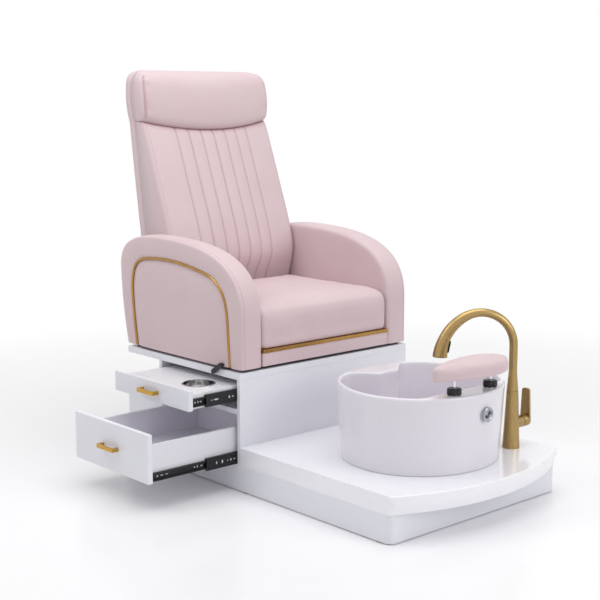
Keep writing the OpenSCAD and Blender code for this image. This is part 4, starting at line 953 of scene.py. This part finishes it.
# %% Front rail
low, high = [[v * 1000 for v in corner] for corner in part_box("seat_rail")]
bm = bmesh.new()
bmesh.ops.create_cube(bm, size=1.0)
bmesh.ops.scale(bm, vec=[h - a for a, h in zip(low, high)], verts=bm.verts)
bmesh.ops.translate(bm, vec=[(h + a) / 2 for a, h in zip(low, high)], verts=bm.verts)
bmesh.ops.bevel(bm, geom=bm.edges[:], offset=3.0, segments=3, profile=0.5, affect="EDGES", material=-1)
hand_over(bm, "rail_cover", "base", pink_leather, ["seat_rail"], flip=True)

# %% [markdown]
# ## Foot pad
# An egg-shaped pad on two rods, thick and rounded, with its cover drawn tight.

# %% Foot pad
ROD_Y, PAD_Z, PAD_OFF = -642.0, 455.5, 18.0
EGG_LONG, EGG_WIDE, EGG_SKEW, EGG_FIT = 165, 66, 0.36, 1.057
PAD_EDGE, PAD_DOME, PAD_INSET = 45, 7, 12


def egg(inset, share=1.0, count=96):
    """An outline that is fuller at one end, drawn in by inset and then shrunk to a share."""
    line = []
    for k in range(count):
        a = 2 * math.pi * k / count
        wide = EGG_WIDE * math.sin(a) * (1 + EGG_SKEW * math.cos(a)) / EGG_FIT
        line.append(Vector((EGG_LONG * math.cos(a), wide)))
    drawn = []
    for k, point in enumerate(line):
        run = (line[(k + 1) % count] - line[k - 1]).normalized()
        drawn.append((point + Vector((-run.y, run.x)) * inset) * share)
    return drawn


def pad_ring(line, z):
    return [(p.x - PAD_OFF, ROD_Y + p.y, z) for p in line]


profile = [(13, 0), (6, 0.6), (2.4, 3.4), (0.6, 8.6), (0, 16), (0, 25), (0.8, 33), (2.8, 38.6), (6.4, 42.6),
           (PAD_INSET, PAD_EDGE)]
rings = [pad_ring(egg(inset), PAD_Z + z) for inset, z in profile]
for k in range(1, 11):
    s = 1 - k / 11
    rings.append(pad_ring(egg(PAD_INSET, s), PAD_Z + PAD_EDGE + PAD_DOME * (1 - s * s)))
bm = bmesh.new()
pull_capped(bm, rings)
foot = hand_over(bm, "foot_pad", "footrest", pink_leather, ["footrest_pad"], flip=True)
pump(foot, 4.0, 3.0, lambda p: ease((p.z - PAD_Z - 4) / 14))

# %% [markdown]
# ## The tub
# One glossy acrylic moulding: an oval outside, a heart inside, with a wide ledge at the
# front for the foot rest. Its walls are rings again, from the drain hole across the
# floor, up the inside, over the rim and down the outside to the foot.

# %% Tub outlines
BASIN_Y, DECK_Z = -433.5, 151.5
TUB_X, TUB_Y, RIM_Z, FOOT_IN = 278, 253.5, 250, 14
LEDGE, NOSE, LOBE, HEART_EDGE, BLEND, REAR_RISE = 84, 158, 150, 14, 7, 7


def bow(value, power):
    return math.copysign(abs(value) ** power, value)


def oval(t, inset):
    power = 2 / (2.35 if math.sin(t) > 0 else 2.0)
    p = Vector((TUB_X * bow(math.cos(t), power), TUB_Y * bow(math.sin(t), power)))
    return p * (1 - inset / p.length)


def heart(t, inset):
    p = oval(t, 0)
    r, a = p.length, math.degrees(math.atan2(p.y, p.x))
    ledge = (TUB_Y - LEDGE) / max(-math.sin(math.radians(a)), 0.2)
    nose = NOSE + LOBE * ease((abs(a - 90) - 14) / 26)
    near = ledge if a < 0 else nose
    wall = -BLEND * math.log(math.exp(-(r - HEART_EDGE) / BLEND) + math.exp(-near / BLEND))
    return p / r * (wall - inset)


def tub_ring(kind, inset, z, count=192):
    line = []
    for k in range(count):
        t = 2 * math.pi * k / count
        if kind == "hole":
            p = Vector((inset * math.cos(t), inset * math.sin(t)))
        else:
            p = heart(t, inset) if kind == "inner" else oval(t, inset)
        rise = REAR_RISE * ease(p.y / 250) * ease((z - 130) / 110) if kind != "hole" else 0
        line.append((p.x, BASIN_Y + p.y, DECK_Z + z + rise))
    return line


# %% Tub
DRAIN_R = 24
# how far each ring is drawn in from its outline, and its height
inner_wall = [(100, 14), (85, 14.2), (62, 15.2), (44, 17.8), (30, 22.5), (20, 30), (14, 42), (10, 62),
              (6.5, 95), (3.5, 150), (1.2, 215), (0.2, 236), (0, 242), (-1.4, 247), (-4.2, 249.7), (-6.5, RIM_Z)]
outer_wall = [(6.5, RIM_Z), (4.2, 249.7), (1.4, 247), (0, 242), (0, 236), (1.2, 220), (4.5, 160), (8.5, 90),
              (12, 30), (13.5, 8), (14.2, 2), (16, 0), (24, 0)]
rings = [tub_ring("hole", DRAIN_R, 0), tub_ring("hole", DRAIN_R, 13), tub_ring("hole", 25.5, 14)]
rings += [tub_ring("inner", inset, z) for inset, z in inner_wall]
rings += [tub_ring("outer", inset, z) for inset, z in outer_wall]
rings += [tub_ring("hole", 90, 0), tub_ring("hole", DRAIN_R, 0)]
bm = bmesh.new()
pull_rings(bm, rings)
hand_over(bm, "tub", "base", tub_white, ["basin"], rounds=1, flip=True)

# %% [markdown]
# ## The tap
# The spout is one tube that bends over and widens slowly into the spray head, so both
# are rings carried along the same line. The spout's end is hollow. A real head comes out
# on a hose, which isn't made here: the CAD model's short straight stem stands in for it,
# in the same place, and shows when the head is pulled out.

# %% Spout and spray head
TAP, SPOUT_TURN = Vector((287.0, -573.0, 151.5)), math.radians(143)
BEND_Z, BEND_R, SPLIT, OUTLET = 348.0, 112.0, 151.2, 178.0
KNEE, WIDE_R, TUBE_R, FLARE, TUBE_WALL = math.radians(120), 158, 14, 5.2, 2.4


def tube_ring(centre, lean, radius, count=40):
    """A ring across the spout's line. centre is (along, up) and lean the line's angle."""
    ring = []
    for k in range(count):
        a = 2 * math.pi * k / count
        across, sideways = radius * math.cos(a), radius * math.sin(a)
        along, up = centre[0] + across * math.cos(lean), centre[1] - across * math.sin(lean)
        x = along * math.cos(SPOUT_TURN) - sideways * math.sin(SPOUT_TURN)
        y = along * math.sin(SPOUT_TURN) + sideways * math.cos(SPOUT_TURN)
        ring.append(TAP + Vector((x, y, up)))
    return ring


def bend(angle):
    """A point on the spout's line: a tight bend to the knee, then a wider one."""
    a = math.radians(angle)
    near = min(a, KNEE)
    along, up = BEND_R - BEND_R * math.cos(near), BEND_Z + BEND_R * math.sin(near)
    if a > KNEE:
        along += WIDE_R * (math.cos(KNEE) - math.cos(a))
        up += WIDE_R * (math.sin(a) - math.sin(KNEE))
    return (along, up), a


def spout_radius(angle):
    return TUBE_R + FLARE * ease((angle - 86) / 72)


foot_of_spout = [(194.2, 17), (194.2, 18.6), (195, 19.3), (198, 19.2), (210, 18.2), (225, 16.9), (240, 15.5),
                 (252, 14.6), (261, 14.1), (270, TUBE_R), (310, TUBE_R)]
rings = [tube_ring((0, z), 0, r) for z, r in foot_of_spout]
for k in range(57):
    angle = SPLIT * k / 56
    rings.append(tube_ring(*bend(angle), spout_radius(angle)))
for angle in (SPLIT, 149, 145, 141, 137, 133, 129):
    rings.append(tube_ring(*bend(angle), spout_radius(angle) - TUBE_WALL))
bm = bmesh.new()
pull_capped(bm, rings)
hand_over(bm, "spout_tube", "spout", tap_brass, ["spout"], flip=True, sharp=40)

HEAD_FROM, HEAD_STEPS = SPLIT + 0.1, 24
rings = [tube_ring(*bend(HEAD_FROM), 15)]
for k in range(HEAD_STEPS + 1):
    t = k / HEAD_STEPS
    radius = 19.1 - 0.7 * (k == 0) + 6.0 * t**1.25 - 0.6 * (k == HEAD_STEPS)
    rings.append(tube_ring(*bend(lerp(HEAD_FROM, OUTLET, t)), radius))
rings += [tube_ring(*bend(OUTLET), 22), tube_ring(*bend(OUTLET - 1), 21.5)]
bm = bmesh.new()
pull_capped(bm, rings)
hand_over(bm, "spray_shell", "spray_head", tap_brass, ["spray_head"], flip=True, sharp=40)

PULL, STEM_R, STEM_BORE, STEM_BACK, STEM_INTO = math.radians(163), 4, 2.5, -38, 6
pull_from = (BEND_R - BEND_R * math.cos(PULL), BEND_Z + BEND_R * math.sin(PULL))
rings = []
stem = [(STEM_INTO, STEM_R), (STEM_BACK, STEM_R), (STEM_BACK, STEM_BORE), (STEM_BACK + 12, STEM_BORE)]
for reach, radius in stem:
    centre = (pull_from[0] + reach * math.sin(PULL), pull_from[1] + reach * math.cos(PULL))
    rings.append(tube_ring(centre, PULL, radius, 24))
bm = bmesh.new()
pull_capped(bm, rings)
hand_over(bm, "spray_stem", "spray_head", tap_brass, flip=True, sharp=40)

# %% Button on the spray head
BUTTON_SIZE, BUTTON_ANGLE, BUTTON_OUT, BUTTON_TIP = (10, 14.6, 41), 163.5, 21.3, 5


def round_edges(bm, edges, offset, segments):
    bmesh.ops.bevel(bm, geom=edges, offset=offset, segments=segments, profile=0.5, affect="EDGES",
                    material=-1)


bm = bmesh.new()
bmesh.ops.create_cube(bm, size=1.0)
bmesh.ops.scale(bm, vec=BUTTON_SIZE, verts=bm.verts)
round_edges(bm, [e for e in bm.edges if abs(e.verts[0].co.x - e.verts[1].co.x) > 1], 6.9, 6)
round_edges(bm, [e for e in bm.edges if all(v.co.x > 4.5 for v in e.verts)], 0.8, 2)
(along, up), lean = bend(BUTTON_ANGLE)
seat_at = Vector((along + BUTTON_OUT * math.cos(lean), 0, up - BUTTON_OUT * math.sin(lean)))
spout_place = Matrix.Translation(TAP) @ Matrix.Rotation(SPOUT_TURN, 4, "Z")
tilt = Matrix.Rotation(lean + math.radians(BUTTON_TIP), 4, "Y")
bmesh.ops.transform(bm, matrix=spout_place @ Matrix.Translation(seat_at) @ tilt, verts=bm.verts)
hand_over(bm, "button_cap", "spray_button", knob_black, ["spray_button"], flip=True, sharp=40)

# %% Black ring on the mixer
MIXER_X, MIXER_Z, RING_OUT, RING_IN = 33, 82, 25.1, 24.3
ball = [(RING_OUT, a) for a in range(54, 42, -2)] + [(RING_IN, a) for a in range(42, 56, 2)]
circle = [2 * math.pi * k / 48 for k in range(48)]
rings = []
for reach, degrees in ball + ball[:1]:
    x, r = MIXER_X + reach * math.cos(math.radians(degrees)), reach * math.sin(math.radians(degrees))
    rings.append([TAP + Vector((x, r * math.cos(a), MIXER_Z + r * math.sin(a))) for a in circle])
bm = bmesh.new()
pull_rings(bm, rings)
hand_over(bm, "mixer_ring", "base", knob_black, flip=True, sharp=40)

# %% [markdown]
# ## Small fittings
# The drain knob carries a raised S that the fingers turn. The drawer slides show pale
# holes where the white board behind them looks through.

# %% The S on the drain knob
KNOB_X, KNOB_Z, S_TURN = 18.0, 181.0, math.radians(-6)
inset = FOOT_IN * (1 - KNOB_Z / RIM_Z)
wall = math.sqrt(1 - (KNOB_X / (TUB_X - inset)) ** 2) * (TUB_Y - inset)
turn = math.atan2(KNOB_X / TUB_X**2, wall / TUB_Y**2)
on_wall = Matrix.Translation((KNOB_X, BASIN_Y - wall, DECK_Z + KNOB_Z)) @ Matrix.Rotation(turn, 4, "Z")
knob_place = on_wall @ Matrix.Rotation(math.pi / 2, 4, "X")
circle = [2 * math.pi * j / 20 for j in range(20)]
rings = []
for k in range(25):
    s = k / 12 - 1
    middle = Vector((15 * s, 7.5 * math.sin(math.pi * s * 0.95), 12.3))
    wide, narrows = 4.6 * math.sqrt(max(0.02, 1 - s**6)), math.sqrt(max(0.02, 1 - s**8))
    rings.append([middle + Vector((0, wide * math.cos(a), 5.2 * math.sin(a) * narrows)) for a in circle])
bm = bmesh.new()
pull_capped(bm, rings)
bmesh.ops.transform(bm, matrix=knob_place @ Matrix.Rotation(S_TURN, 4, "Z"), verts=bm.verts)
hand_over(bm, "knob_grip", "drain_knob", grip_chrome, rounds=1, flip=True)

# %% Holes in the slides
SPOT_THICK, DRAWER_ROW, TRAY_ROW, INNER_FACE = 0.3, 114.5, 330.5, 7.9


def holes(name, body, node, depth, height, marks):
    """Pale ovals on the near face of a slide. marks are (x, length, height) of each."""
    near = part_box(node)[0][1] * 1000 + depth
    upright = Matrix.Rotation(math.pi / 2, 3, "X")
    bm = bmesh.new()
    for x, long, tall in marks:
        disc = bmesh.ops.create_cone(bm, cap_ends=True, segments=20, radius1=0.5, radius2=0.5, depth=1.0)
        made = disc["verts"]
        bmesh.ops.scale(bm, vec=(long, tall, SPOT_THICK), verts=made)
        bmesh.ops.rotate(bm, cent=(0, 0, 0), matrix=upright, verts=made)
        bmesh.ops.translate(bm, vec=(x, near - SPOT_THICK / 2, height), verts=made)
    hand_over(bm, name, body, hole_grey, flip=True, sharp=40)


holes("drawer_slide_holes", "drawer", "drawer_inner_slides", INNER_FACE, DRAWER_ROW,
      [(-720, 6, 6), (-703, 9, 4), (-683, 10, 3), (-572, 5, 5), (-560, 4, 10), (-543, 9, 4)])
holes("drawer_mid_holes", "drawer_mid", "drawer_mid_slides", 0.0, DRAWER_ROW,
      [(-487, 5, 10), (-463, 6, 12), (-441, 4, 4), (-427, 6, 8), (-412, 7, 4)])
holes("tray_slide_holes", "tray", "tray_inner_slides", INNER_FACE, TRAY_ROW,
      [(-566, 6, 6), (-554, 4, 9), (-543, 7, 4)])
holes("tray_mid_holes", "tray_mid", "tray_mid_slides", 0.0, TRAY_ROW,
      [(-505, 4, 4), (-486, 20, 5), (-431, 6, 9), (-416, 7, 4)])

# %% [markdown]
# ## The floor
# A pale floor that keeps the chair's shadow and a dim reflection, and fades into the
# white studio before its edge can show.

# %% Floor
floor = Finish("studio_floor", paint(243, 243, 245), 0.22, specular_ior_level=0.35)
FADE_AT, FADE_OVER, FLOOR_HALF = 2.1, 2.0, 6.0
far = floor.node("ShaderNodeVectorMath", {"operation": "LENGTH"}, {0: floor.place}, output="Value")
clear = floor.tree.nodes.new("ShaderNodeBsdfTransparent")
blend = floor.tree.nodes.new("ShaderNodeMixShader")
plug(floor.tree, blend.inputs[0], far.above(FADE_AT, FADE_OVER))
floor.tree.links.new(floor.shader.outputs[0], blend.inputs[1])
floor.tree.links.new(clear.outputs[0], blend.inputs[2])
floor.tree.links.new(blend.outputs[0], floor.tree.nodes["Material Output"].inputs["Surface"])
bm = bmesh.new()
bmesh.ops.create_grid(bm, x_segments=1, y_segments=1, size=FLOOR_HALF)
ground_mesh = bpy.data.meshes.new("floor")
bm.to_mesh(ground_mesh)
bm.free()
ground = bpy.data.objects.new("floor", ground_mesh)
ground_mesh.materials.append(floor.material)
bpy.context.scene.collection.objects.link(ground)
print("floor reaches", FLOOR_HALF, "m each way")
